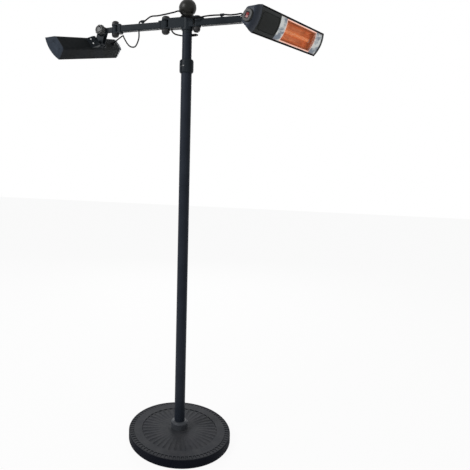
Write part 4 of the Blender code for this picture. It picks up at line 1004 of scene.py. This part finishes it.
def arm_tube(side):
    tube = block((TUBE_START, -ARM_HALF, -ARM_HALF), (TUBE_END, ARM_HALF, ARM_HALF))
    long_edges = [edge for edge in tube.edges if abs((edge.verts[0].co - edge.verts[1].co).x) > 0.1]
    rounded(tube, long_edges, 0.0035, 5)
    inner = ARM_HALF - ARM_WALL
    hollow = block((TUBE_START + 0.020, -inner, -inner), (TUBE_END + OVERRUN, inner, inner))
    barrel = eased(slab(round_ended(TUBE_START + 0.010, 0, 0.0135), -0.0132, 0.0222), 0.0008)
    bore = rod(PIN + GAP, -0.030, 0.040)
    loop = laid(rod(0.0061, RING_SPOT - 0.007, RING_SPOT + 0.011, ROUND), "x", (0, 0, RING_LEVEL))
    stem = block((RING_SPOT - 0.005, -0.0022, ARM_HALF - 0.001), (RING_SPOT + 0.005, 0.0022, RING_LEVEL))
    through = laid(rod(0.0043, RING_SPOT - 0.012, RING_SPOT + 0.016, ROUND), "x", (0, 0, RING_LEVEL))
    shape = worked(tube, (CUT, hollow), (JOIN, barrel), (JOIN, stem), (JOIN, loop), (CUT, through), (CUT, bore))
    fitted(side, "arm_tube", shape, "arm", COAT, "arm")


for side in SIDES:
    arm_tube(side)

# %% [markdown]
# At the arm's end a swivel block turns on the outer pin. Its knuckle sits between the cheeks
# of a yoke, and a lobed hand knob clamps the two, so the head keeps its tilt.

# %% Swivel block and yoke
REACH = 0.075                    # from the outer pin to the knob's screw
DROP, CHEEK, YOKE_HALF = 0.0358, 0.022, 0.0153


def bored_disc(radius, half):
    profile = ((PIN + GAP, -half), (radius, -half), (radius, half), (PIN + GAP, half))
    return eased(ring(profile, ROUND), 0.0008)


def swivel_block(side):
    neck = eased(block((0.011, -0.0078, -0.012), (REACH - 0.013, 0.0078, 0.012)), 0.0015, 3)
    knuckle = laid(bored_disc(0.022, 0.009), "y", (REACH, 0, 0))
    shape = worked(bored_disc(0.0165, 0.0152), (JOIN, neck), (JOIN, knuckle))
    fitted(side, "swivel_block", shape, "swivel", COAT, "swivel")


def touching(radius, point, way):
    """Angle where a line from the point touches a circle about the origin."""
    return math.atan2(point[1], point[0]) + way * math.acos(radius / math.hypot(*point))


def yoke_block(side):
    front, back, floor = 0.0475, 0.0415, 0.029
    weld = front - 0.003
    upper, lower = (weld, -DROP + CHEEK), (floor, -DROP - CHEEK)
    start, end = touching(CHEEK, upper, 1), touching(CHEEK, lower, -1) + math.tau
    outline = [*arc((0, 0), CHEEK, start, end, 36), lower, (weld, lower[1]), upper]
    centre = (0, 0, -DROP)
    disc = laid(eased(rod(0.028, back, front, FINE), 0.0008), "x", centre)
    slot = block((-0.030, -0.0093, lower[1] - OVERRUN), (floor, 0.0093, CHEEK + OVERRUN))
    boss = laid(eased(rod(0.012, -YOKE_HALF - 0.007, -YOKE_HALF + 0.003, 6), 0.001), "y")
    pin = laid(rod(PIN + GAP, -0.030, 0.030), "y")
    stepped = laid(ring(((0, floor - OVERRUN), (0.0113, floor - OVERRUN), (0.0113, back), (PIN + GAP, back),
                         (PIN + GAP, front + OVERRUN), (0, front + OVERRUN)), ROUND), "x", centre)
    cheeks = eased(worked(slab(outline, -YOKE_HALF, YOKE_HALF, "y"), (CUT, slot)), 0.0010)
    shape = worked(cheeks, (JOIN, disc), (JOIN, boss), (CUT, pin), (CUT, stepped))
    fitted(side, "yoke_block", shape, "tilt", COAT, "yoke")


# %% [markdown]
# The hand knob could be moulded in one shot: ten shallow lobes give a grip, and the top rises
# to a low dome. The dome comes from insets of the last face, each a little higher than the
# one before, and the last two sink a small dimple. Its screw runs through the yoke.

# %% Tilt knob
KNOB_RADIUS, LOBES, LOBE_STEPS = 0.026, 10, 12


def knob(side):
    seat, length, dome = YOKE_HALF + GAP, 0.022, 0.008
    outline = []
    for step in range(LOBES * LOBE_STEPS):
        turn = math.tau * step / (LOBES * LOBE_STEPS)
        reach = KNOB_RADIUS * (1 - 0.05 * (1 - math.cos(LOBES * turn)) ** 1.5 / 1.41)
        outline.append((reach * math.cos(turn), reach * math.sin(turn)))
    bm = slab(outline, seat, seat + length - dome)
    top = max(bm.faces, key=lambda face: face.calc_center_median().z)
    for inward, outward in ((0.0008, 0.0020), (0.0016, 0.0022), (0.0028, 0.0019), (0.0045, 0.0012),
                            (0.0045, 0.0005), (0.0006, -0.0006), (0.0004, 0.0)):
        bmesh.ops.inset_region(bm, faces=[top], thickness=inward, depth=outward)
    screw = rod(PIN, -YOKE_HALF - 0.007, seat + OVERRUN)
    fitted(side, "hand_knob", laid(worked(settled(bm), (JOIN, screw)), "y"), "knob", PLASTIC, "tilt_knob")


for side in SIDES:
    swivel_block(side)
    yoke_block(side)
    knob(side)

# %% [markdown]
# The head is a long folded channel with slanting sides, a flat back and a swollen front. All
# of its parts share one cross-section, so two helpers give the outline of its sides and back
# and the curve of its front, each at any inset.

# %% The head's section
FRONT_HALF, BACK_HALF, DEPTH, BULGE, SHOULDER = 0.0565, 0.03164, 0.0483, 0.012, 0.012
SLOPE = math.atan2(FRONT_HALF - BACK_HALF, DEPTH)
OPENING = FRONT_HALF - 0.006
FILLING = OPENING - 0.0006       # half width of what lies in the opening
STEEL = 0.0018                   # thickness of the folded housing
house_low, house_high = side_span("right", "housing", "head")
SEAM, PLAIN = house_low.y, house_high.y
END_CAP = side_span("right", "plain_cap", "head")[1].y
HEAD_RUN = 0.587                 # from the nose's seam to the plain end
LEAD_ENTRY = END_CAP - HEAD_RUN * 0.90
print("head from", round(SEAM, 4), "to", round(END_CAP, 4))


def front_at(across):
    return DEPTH + BULGE * (1 - (across / FRONT_HALF) ** 2)


def front_curve(half, inset, steps=24):
    spread = [half * (2 * step / steps - 1) for step in range(steps + 1)]
    return [(front_at(across) - inset, across) for across in spread]


def skin(inset, depth, steps=8):
    """Sides and back, from the upper edge at a depth round to the lower one."""
    turn = math.pi / 2 - SLOPE
    reach, radius = SHOULDER * math.tan(turn / 2), SHOULDER - inset
    upper = [(depth, BACK_HALF + depth * math.tan(SLOPE) - inset / math.cos(SLOPE))]
    for step in range(steps, -1, -1):
        bend = turn * step / steps
        upper.append((SHOULDER - radius * math.cos(bend), BACK_HALF - reach + radius * math.sin(bend)))
    return upper + [(x, -z) for x, z in reversed(upper)]


def housing(side):
    rim = (front_at(OPENING), OPENING)
    inner = (rim[0] - STEEL, OPENING)
    outline = [*skin(0, DEPTH), (rim[0], -rim[1]), (inner[0], -inner[1]),
               *reversed(skin(STEEL, DEPTH - STEEL)), inner, rim]
    shell = eased(slab(outline, SEAM, PLAIN, "y"), 0.0007, 2, math.radians(40))
    hole = laid(rod(0.0073, -OVERRUN, STEEL + OVERRUN), "x", (0, LEAD_ENTRY, 0))
    fitted(side, "housing_channel", worked(shell, (CUT, hole)), "head", HOUSING_COAT, "housing")


# %% [markdown]
# The plain end is closed by a flat moulded cap. Faint raised outlines run round it, each an
# inset of the last, which stiffen the moulding.

# %% Plain end cap
def section(inset):
    """The head's whole outline, drawn in by an inset."""
    return [*skin(inset, DEPTH - inset), *front_curve(FRONT_HALF - inset * 1.45, inset)[1:-1]]


def dark_front(depth, along, across):
    """One on the cap's front edge, nought on its flat end."""
    return depth.rise(0.0455, 0.047) * (1 - along.rise(END_CAP - 0.0012, END_CAP - 0.0006))


END_PLASTIC = moulded_finish("end_plastic_grain", (0.030, 0.040, 0.056), (0.041, 0.053, 0.074), 0.46,
                             mask=dark_front, beyond=NEARLY_BLACK)


def end_cap(side):
    bm = slab(section(0), PLAIN + GAP, END_CAP, "y")
    face = max(bm.faces, key=lambda item: item.calc_center_median().y)
    rounded(bm, list(face.edges), 0.0012, 3)
    for inset in (0.005, 0.0105, 0.016, 0.0215):
        line = [Vector((x, END_CAP - 0.0001, z)) for x, z in section(inset)]
        added(bm, swept([*line, line[-1].lerp(line[0], 0.99)], 0.0009, 6))
    fitted(side, "end_cap", bm, "head", END_PLASTIC, "plain_cap")


# %% [markdown]
# The plain cap has a flange that laps a few millimetres over the bright sheet and hides its
# cut end. It is a thin slab between two copies of the front's curve.

# %% Lip of the plain cap
def cap_lip(side):
    outline = [*front_curve(FILLING, 0.0002), *reversed(front_curve(FILLING, 0.0015))]
    lip = eased(slab(outline, PLAIN - 0.0080, PLAIN - GAP, "y"), 0.0004)
    fitted(side, "cap_lip", lip, "head", BOSS_PLASTIC)


# %% [markdown]
# The service end is a rounded nose that holds the switch. The section is drawn in along a
# quarter wave: each step extrudes the last face, scales it towards the middle and moves it on.
# A smaller copy is cut out of it, and the switch's opening goes through the tip.

# %% Nose cap
NOSE, NOSE_TIP, NOSE_WALL = 0.045, 0.60, 0.0025
NOSE_FLAT = 0.004                # length before the nose begins to close
NOSE_STEPS = 18
OUT_HALF, ACROSS_HALF = 0.0375, 0.0580
BOSS_RISE = 0.006
MIDDLE = DEPTH / 2
ROCKER_LEVEL = MIDDLE + BULGE * NOSE_TIP / 2
NOSE_END = SEAM - GAP - NOSE
SWITCH_WIDE, SWITCH_LONG = 0.0067, 0.0102    # half sizes of the switch's opening


def fullness(gone):
    """How much of the section is left, part of the way to the tip."""
    return NOSE_TIP + (1 - NOSE_TIP) * math.sqrt(max(0, 1 - gone ** 3.2))


def nose_shape(inset, back, length):
    outline = [*skin(inset, DEPTH - inset, 14), *front_curve(FRONT_HALF - inset * 1.2, inset, 40)[1:-1]]
    bm = bmesh.new()
    face = bm.faces.new([bm.verts.new((x, back, z)) for x, z in outline])
    bends = [math.sin(math.pi / 2 * step / NOSE_STEPS) for step in range(1, NOSE_STEPS + 1)]
    rings = [(1.0, NOSE_FLAT), *[(fullness(bend), NOSE_FLAT + (length - NOSE_FLAT) * bend) for bend in bends]]
    share, level = 1.0, 0.0
    for next_share, next_level in rings:
        pushed = bmesh.ops.extrude_face_region(bm, geom=[face])["geom"]
        if face.is_valid and level > 0:
            bmesh.ops.delete(bm, geom=[face], context="FACES_ONLY")
        face = next(item for item in pushed if isinstance(item, bmesh.types.BMFace))
        corners, ratio = list(face.verts), next_share / share
        bmesh.ops.scale(bm, vec=(ratio, 1, ratio), space=Matrix.Translation((-MIDDLE, 0, 0)), verts=corners)
        bmesh.ops.translate(bm, vec=(0, level - next_level, 0), verts=corners)
        share, level = next_share, next_level
    for corner in bm.verts:
        gone = min(1, max(0, (back - corner.co.y - NOSE_FLAT) / (length - NOSE_FLAT)))
        out, across = abs(corner.co.x - MIDDLE) / OUT_HALF, abs(corner.co.z) / ACROSS_HALF
        ratio = 1 + min(0, fullness(gone) / (across ** 2.5 + out ** 2.5) ** 0.4 - 1) * gone ** 0.5
        corner.co.x, corner.co.z = MIDDLE + (corner.co.x - MIDDLE) * ratio, corner.co.z * ratio
    return settled(bm)


def switch_hole(wide, long, deep):
    """A block that cuts from beyond the nose's tip to a depth behind it."""
    return block((ROCKER_LEVEL - wide, NOSE_END - OVERRUN, -long), (ROCKER_LEVEL + wide, NOSE_END + deep, long))


def nose_cap(side):
    back = SEAM - GAP
    hollow = nose_shape(NOSE_WALL, back + OVERRUN, NOSE - BOSS_RISE - NOSE_WALL + OVERRUN)
    opening = switch_hole(SWITCH_WIDE, SWITCH_LONG, BOSS_RISE + NOSE_WALL + OVERRUN)
    shape = worked(nose_shape(0, back, NOSE - BOSS_RISE), (CUT, hollow), (CUT, opening))
    fitted(side, "nose_cap", shape, "head", CAP_PLASTIC, "service_cap")


# %% [markdown]
# A red rocker switch sits in a raised oval frame on the nose's tip. The rocker is a slab whose
# face is two shallow slopes that meet in the middle. The frame is a slab with a rounded lip;
# a well is cut into it for the rocker, and the opening goes on into the nose.

# %% Switch
def fuller(value):
    """A sine or cosine bent outwards a little, which makes a circle squarer."""
    return math.copysign(abs(value) ** 0.85, value)


def switch(side):
    half, wide, depth, throw = 0.0095, 0.006, 0.008, math.radians(8)
    raised = -half * math.tan(throw)
    curve = [(raised * (1 - math.cos(math.pi / 2 * z / half)) * 0.6 + raised * abs(z) / half * 0.4, z)
             for z in (half * step / 4 for step in range(-4, 5))]
    rocker = slab([(depth, -half), *curve, (depth, half)], -wide, wide, "x")
    rocker = eased(rocker, 0.0005, 2, math.radians(50))
    fitted(side, "switch_rocker", rocker, "switch", SWITCH_RED, "rocker")
    wide_half, long_half = 0.0225, 0.0255
    spread = [math.tau * step / 72 for step in range(72)]
    oval = [(ROCKER_LEVEL + wide_half * fuller(math.cos(a)), long_half * fuller(math.sin(a))) for a in spread]
    boss = slab(oval, NOSE_END - 0.0010, NOSE_END + BOSS_RISE + 0.007, "y")
    rounded(boss, [edge for edge in boss.edges if max(v.co.y for v in edge.verts) < NOSE_END], 0.0038, 6)
    well = eased(switch_hole(0.0095, 0.0130, 0.0014), 0.0030, 4)
    boss = worked(boss, (CUT, well), (CUT, switch_hole(SWITCH_WIDE, SWITCH_LONG, 0.020)))
    fitted(side, "switch_boss", boss, "head", BOSS_PLASTIC)


# %% [markdown]
# The service panel is a plate with the front's curve. A fine groove runs round it: its line is
# drawn flat with round corners, laid on the curve, and swept as a thin tube that is cut out.

# %% Service panel
# Beyond the groove the panel's long edges are painted lighter: a painted highlight band.
PANEL_PLASTIC = moulded_finish("panel_plastic_grain", (0.013, 0.015, 0.014), (0.018, 0.021, 0.020), 0.46,
                               gloss=0.08, beyond=(0.036, 0.040, 0.040),
                               mask=lambda depth, along, across: across.size().rise(0.0372, 0.0380))


def groove_path(low, high):
    """A rectangle with round corners on the front's curve, in steps of four millimetres."""
    half, near, far, turn = 0.0355, low + 0.010, high - 0.012, 0.016
    corners = ((half - turn, far - turn, 0), (half - turn, near + turn, -1), (turn - half, near + turn, -2),
               (turn - half, far - turn, -3))
    line = [spot for z, y, quarter in corners for spot in
            arc((z, y), turn, math.pi / 2 * (quarter + 1), math.pi / 2 * quarter, 8)]
    marks = [Vector((front_at(z), y, z)) for z, y in line]
    marks.append(marks[-1].lerp(marks[0], 0.995))
    path = []
    for one, other in zip(marks, marks[1:]):
        count = max(1, round((other - one).length / 0.004))
        path += [one.lerp(other, step / count) for step in range(count)]
    path.append(marks[-1])
    return [Vector((front_at(point.z) - 0.0001, point.y, point.z)) for point in path]


def panel(side):
    low, high = side_span(side, "service_panel", "head")
    outline = [*front_curve(FILLING, 0), *reversed(front_curve(FILLING, 0.003))]
    plate = eased(slab(outline, low.y, high.y, "y"), 0.0006)
    groove = swept(groove_path(low.y, high.y), 0.0017, 8)
    fitted(side, "front_panel", worked(plate, (CUT, groove)), "head", PANEL_PLASTIC, "service_panel")


# %% [markdown]
# Behind the guard the reflector is one sheet of bright aluminium, pressed into a trough. A
# flat grid is extruded row by row, and its points then sink by a smooth curve, so the sheet
# rolls over the trough's mouth instead of breaking at it.

# %% Reflector
WINDOW_LOW, WINDOW_HIGH = SEAM + HEAD_RUN * 0.375, SEAM + HEAD_RUN * 0.855
WINDOW_HALF = OPENING - 0.0075
TROUGH = 0.034
BROW = 0.013                     # width over which the sheet rolls down
SHEET, GUARD_THICK = 0.0014, 0.0016


def spread_between(marks, pitch):
    """Places between marks, no further apart than a pitch."""
    found = [marks[0]]
    for low, high in zip(marks, marks[1:]):
        count = max(1, math.ceil((high - low) / pitch))
        found += [low + (high - low) * step / count for step in range(1, count + 1)]
    return found


def grid_sheet(columns, rows, level):
    bm = bmesh.new()
    line = [bm.verts.new((level(across, rows[0]), rows[0], across)) for across in columns]
    edges = [bm.edges.new(pair) for pair in zip(line, line[1:])]
    for low, high in zip(rows, rows[1:]):
        points, edges = pushed_edges(bm, edges)
        bmesh.ops.translate(bm, vec=(0, high - low, 0), verts=points)
    for point in bm.verts:
        point.co.x = level(point.co.z, point.co.y)
    return settled(bm)


def sheet_level(across, along):
    """The front's curve, sunk to the trough's floor inside the window."""
    inwards = min(WINDOW_HALF - abs(across), along - WINDOW_LOW, WINDOW_HIGH - along)
    wall = min(1, max(0, inwards / BROW))
    sink = wall * wall * (3 - 2 * wall)
    floor = DEPTH - TROUGH + 0.008 * (across / WINDOW_HALF) ** 2
    return (front_at(across) - GUARD_THICK - GAP - SHEET / 2) * (1 - sink) + floor * sink


def reflector(side):
    low, high = side_span(side, "reflector", "head")
    columns = spread_between([-FILLING, -WINDOW_HALF, -WINDOW_HALF + BROW, WINDOW_HALF - BROW, WINDOW_HALF,
                              FILLING], 0.0022)
    rows = spread_between([low.y, WINDOW_LOW, WINDOW_LOW + BROW, WINDOW_HIGH - BROW, WINDOW_HIGH,
                           high.y], 0.0032)
    sheet = grid_sheet(columns, rows, sheet_level)
    made = fitted(side, "reflector_sheet", sheet, "head", ALUMINIUM, "reflector")
    wall = made.modifiers.new("Sheet", "SOLIDIFY")
    wall.thickness = SHEET
    wall.offset = 0


# %% [markdown]
# The guard is a frame of flat wire with many thin round wires welded across it. Each wire is
# swept over the front's curve with five sides only, because there are so many of them.

# %% Guard
WIRES, WIRE = 56, 0.0006
GUARD = guard_finish(WINDOW_LOW, WINDOW_HIGH, WINDOW_HALF)


def guard(side):
    half, rail = WINDOW_HALF + 0.0042, 0.0055
    columns = spread_between([-half, -WINDOW_HALF, WINDOW_HALF, half], 0.0035)
    rows = [WINDOW_LOW - rail, *spread_between([WINDOW_LOW, WINDOW_HIGH], 0.02), WINDOW_HIGH + rail]
    bm = grid_sheet(columns, rows, lambda across, along: front_at(across) - GUARD_THICK / 2)
    holes = [face for face in bm.faces if abs(face.calc_center_median().z) < WINDOW_HALF
             and WINDOW_LOW < face.calc_center_median().y < WINDOW_HIGH]
    bmesh.ops.delete(bm, geom=holes, context="FACES")
    bmesh.ops.solidify(bm, geom=bm.faces[:], thickness=GUARD_THICK)
    bmesh.ops.translate(bm, verts=bm.verts, vec=(-GUARD_THICK / 2, 0, 0))
    bmesh.ops.recalc_face_normals(bm, faces=bm.faces)
    pitch = (WINDOW_HIGH - WINDOW_LOW) / (WIRES + 1)
    spread = [(WINDOW_HALF + 0.001) * (step / 7 - 1) for step in range(15)]
    for number in range(1, WIRES + 1):
        line = [Vector((front_at(z) - GUARD_THICK / 2, WINDOW_LOW + pitch * number, z)) for z in spread]
        added(bm, swept(line, WIRE, 5))
    fitted(side, "guard", bm, "head", GUARD, "grille")


# %% [markdown]
# The lamp is a quartz tube that narrows at both ends, turned from one profile. Each end lies
# in a ceramic holder, which is a block with a bore.

# %% Lamp and holders
def lamp(side):
    low, high = side_span(side, "lamp", "head")
    level = (low.x + high.x) / 2
    near, far, thick, thin = low.y + 0.0143, high.y - 0.0143, 0.0085, 0.005
    bends = [math.pi / 2 * step / 5 for step in range(6)]
    shoulder = [(thin + (thick - thin) * math.sin(bend), 0.005 * (1 - math.cos(bend))) for bend in bends]
    profile = [(0, low.y), (thin, low.y), *[(radius, near + y) for radius, y in shoulder],
               *[(radius, far - y) for radius, y in reversed(shoulder)], (thin, high.y), (0, high.y)]
    fitted(side, "lamp_tube", laid(ring(profile, ROUND), "y", (level, 0, 0)), "head", LAMP, "lamp")
    for name in ("service", "plain"):
        low, high = side_span(side, name + "_lamp_holder", "head")
        bore = laid(rod(thin + GAP, low.y - OVERRUN, high.y + OVERRUN), "y", (level, 0, 0))
        holder = worked(eased(block(low, high), 0.0010), (CUT, bore))
        fitted(side, name + "_holder", holder, "head", CERAMIC, name + "_lamp_holder")


# %% [markdown]
# A plate on the head's back carries the turntable: a boss, a pin and a riveted head. Two
# bright screws with crossed slots hold the plate to the housing.

# %% Mount plate and its screws
PLATE = -0.0033                  # depth of the plate's back
SCREW_SPREAD = (-0.0125, 0.0125)


def crossed_head(along, across):
    profile = ((0, 0), (0.0042, 0), (0.0042, -0.0008), (0.0034, -0.0021), (0.0018, -0.0027), (0, -0.0028))
    slits = [(CUT, block((PLATE - 0.004, along - long, across - wide),
                         (PLATE - 0.0015, along + long, across + wide)))
             for long, wide in ((0.0022, 0.00045), (0.00045, 0.0022))]
    return worked(laid(ring(profile, SMALL), "x", (PLATE, along, across)), *slits)


def mount(side):
    boss = -0.0063
    back = boss - 0.0066
    flat = block((PLATE, -0.062, -0.028), (-GAP, 0.062, 0.028))
    corners = [edge for edge in flat.edges if abs((edge.verts[0].co - edge.verts[1].co).x) > 0.001]
    flat = eased(rounded(flat, corners, 0.009, 8), 0.0006)
    profile = ((0, -0.0018), (0.025, -0.0018), (0.025, boss + 0.0008), (0.0242, boss), (PIN, boss), (PIN, back),
               (0.011, back), (0.0105, back - 0.003), (0.008, back - 0.005), (0, back - 0.005))
    turned_part = laid(ring(profile, ROUND), "x")
    fitted(side, "mount_plate", worked(flat, (JOIN, turned_part)), "head", COAT, "head_bracket")
    screws = bmesh.new()
    for across in SCREW_SPREAD:
        added(screws, crossed_head(-0.051, across))
    fitted(side, "mount_screws", screws, "head", ZINC)


# %% [markdown]
# Behind one end of the plate stands a sloping block with four ribs across its slope, and an
# upright flange stands at the other end. The block is a slab of its side view; the ribs are
# joined to it, and two round screws are set into the slope.

# %% Sloping block and flange
SLOPE_LOW, SLOPE_HIGH = Vector((-0.0215, 0.064, 0)), Vector((-0.0030, 0.0955, 0))
TILT = Matrix.Rotation(-math.atan2(0.0185, 0.0315), 4, "Z")


def on_slope(bm, spot):
    bmesh.ops.transform(bm, matrix=Matrix.Translation(spot) @ TILT, verts=bm.verts)
    return bm


def saddle(side):
    foot = PLATE - GAP
    outline = [(foot, 0.034), (-0.0205, 0.034), (-0.0235, 0.0375), (-0.0235, 0.058), SLOPE_LOW[:2],
               SLOPE_HIGH[:2], (-GAP, 0.098), (-GAP, 0.0625), (foot, 0.0625)]
    jobs = []
    for share in (0.10, 0.28, 0.72, 0.90):
        rib = eased(block((-0.0013, -0.0016, -0.0262), (0.004, 0.0016, 0.0262)), 0.0006)
        jobs.append((JOIN, on_slope(rib, SLOPE_LOW.lerp(SLOPE_HIGH, share))))
    for across in SCREW_SPREAD:
        jobs.append((CUT, laid(rod(0.0046, -0.030, -0.0222), "x", (0, 0.047, across))))
    shape = worked(eased(slab(outline, -0.027, 0.027), 0.0012), *jobs)
    added(shape, eased(block((-0.0165, -0.0375, -0.024), (foot, -0.034, 0.024)), 0.0008))
    added(shape, eased(block((foot - 0.002, -0.0440, -0.024), (foot, -0.0378, 0.024)), 0.0006))
    fitted(side, "mount_saddle", shape, "head", COAT)
    profile = ((0, 0.0012), (0.0044, 0.0012), (0.0044, -0.0010), (0.0036, -0.0023), (0.0018, -0.0030),
               (0, -0.0031))
    heads = bmesh.new()
    for across in (-0.009, 0.014):
        added(heads, on_slope(laid(ring(profile, SMALL), "x"), (-0.01225, 0.07975, across)))
    fitted(side, "saddle_screws", heads, "head", ZINC)


# %% [markdown]
# The lead enters the housing beside the plate through a rubber gland. Its ribs get smaller
# towards the end, so it bends with the lead. Then every part of a head is made for each side.

# %% Lead gland, and both heads
def lead_gland(side):
    stem, bore = 0.007, LEAD + GAP
    ribs = [(0.0064 - 0.0007 * (step % 2) - 0.00012 * step, -0.0085 - 0.0013 * step) for step in range(9)]
    gland = ring(((bore, 0.0021), (stem, 0.0021), (stem, -GAP), (0.0100, -GAP), (0.0100, -0.0062),
                  (0.0092, -0.0075), (0.0070, -0.0083), *ribs, (bore + 0.0006, -0.0203),
                  (bore, -0.0203)), ROUND)
    fitted(side, "lead_gland", laid(gland, "x", (0, LEAD_ENTRY, 0)), "head", RUBBER, "gland")


for side in SIDES:
    for make in (housing, end_cap, cap_lip, nose_cap, switch, panel, reflector, guard, lamp, mount, saddle,
                 lead_gland):
        make(side)

# %% [markdown]
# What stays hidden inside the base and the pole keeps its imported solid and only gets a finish.

# %% Finishes of the solids that stay
KEPT = {"base_plate": ZINC, "base_ballast": CONCRETE, "foot_bolt": ZINC, "mast_glide": PLASTIC,
        "guide_bush": PLASTIC}
for node, finish in KEPT.items():
    solid = frame["nodes"][node]
    solid.data.materials.clear()
    solid.data.materials.append(finish)
print("solids that stay:", ", ".join(KEPT))

# %% [markdown]
# The heater stands on a pale floor in soft studio light. The world lights it evenly and shows
# white to the camera and in reflections, and three large lamps give the metal its highlights.

# %% Floor and light
RAYS = ("Camera", "Glossy", "Transmission")
DIM_SKY = 0.20                   # the world's strength for all other rays

floor_shape = bmesh.new()
bmesh.ops.create_grid(floor_shape, x_segments=1, y_segments=1, size=12)
floor_mesh = bpy.data.meshes.new("floor")
floor_shape.to_mesh(floor_mesh)
floor_shape.free()
floor = bpy.data.objects.new("floor", floor_mesh)
bpy.context.scene.collection.objects.link(floor)
paper = Finish("studio_floor", Base_Color=(0.86, 0.86, 0.86), Roughness=0.9, Specular_IOR_Level=0.1)
seen, shiny, clear = (paper.node("LightPath", output=f"Is {ray} Ray") for ray in RAYS)
glow = paper.node("Emission", sockets={"Color": (1, 1, 1, 1), "Strength": 1.0})
share = (seen + shiny + clear).at_most(1) * 0.94
blend = paper.node("MixShader", sockets={0: share, 1: Wire(paper, paper.shader.outputs[0]), 2: glow})
paper.tree.links.new(blend.socket, paper.tree.nodes["Material Output"].inputs["Surface"])
floor_mesh.materials.append(paper.material)

world = bpy.data.worlds.new("studio")
world.use_nodes = True
bpy.context.scene.world = world
sky = world.node_tree
background = sky.nodes["Background"]
path = sky.nodes.new("ShaderNodeLightPath")
total = path.outputs[f"Is {RAYS[0]} Ray"]
for ray in RAYS[1:]:
    adder = sky.nodes.new("ShaderNodeMath")
    adder.operation, adder.use_clamp = "ADD", True
    sky.links.new(total, adder.inputs[0])
    sky.links.new(path.outputs[f"Is {ray} Ray"], adder.inputs[1])
    total = adder.outputs[0]
level = sky.nodes.new("ShaderNodeMapRange")
sky.links.new(total, level.inputs["Value"])
level.inputs["To Min"].default_value = DIM_SKY
level.inputs["To Max"].default_value = 1.0
sky.links.new(level.outputs[0], background.inputs["Strength"])
background.inputs["Color"].default_value = (1, 1, 1, 1)


def lamp_light(name, place, aim, size, power):
    light = bpy.data.lights.new(name, "AREA")
    light.size = size
    light.energy = power
    made = bpy.data.objects.new(name, light)
    made.location = place
    made.rotation_euler = (Vector(aim) - Vector(place)).to_track_quat("-Z", "Y").to_euler()
    bpy.context.scene.collection.objects.link(made)


lamp_light("key", (-2.4, -2.6, 3.4), (0, 0, 1.6), 1.6, 95)
lamp_light("fill", (2.8, -1.8, 2.4), (0, 0, 1.4), 2.0, 6)
lamp_light("back", (-0.9, 3.2, 2.5), (0, 0, 1.2), 1.8, 70)
print("lights placed")
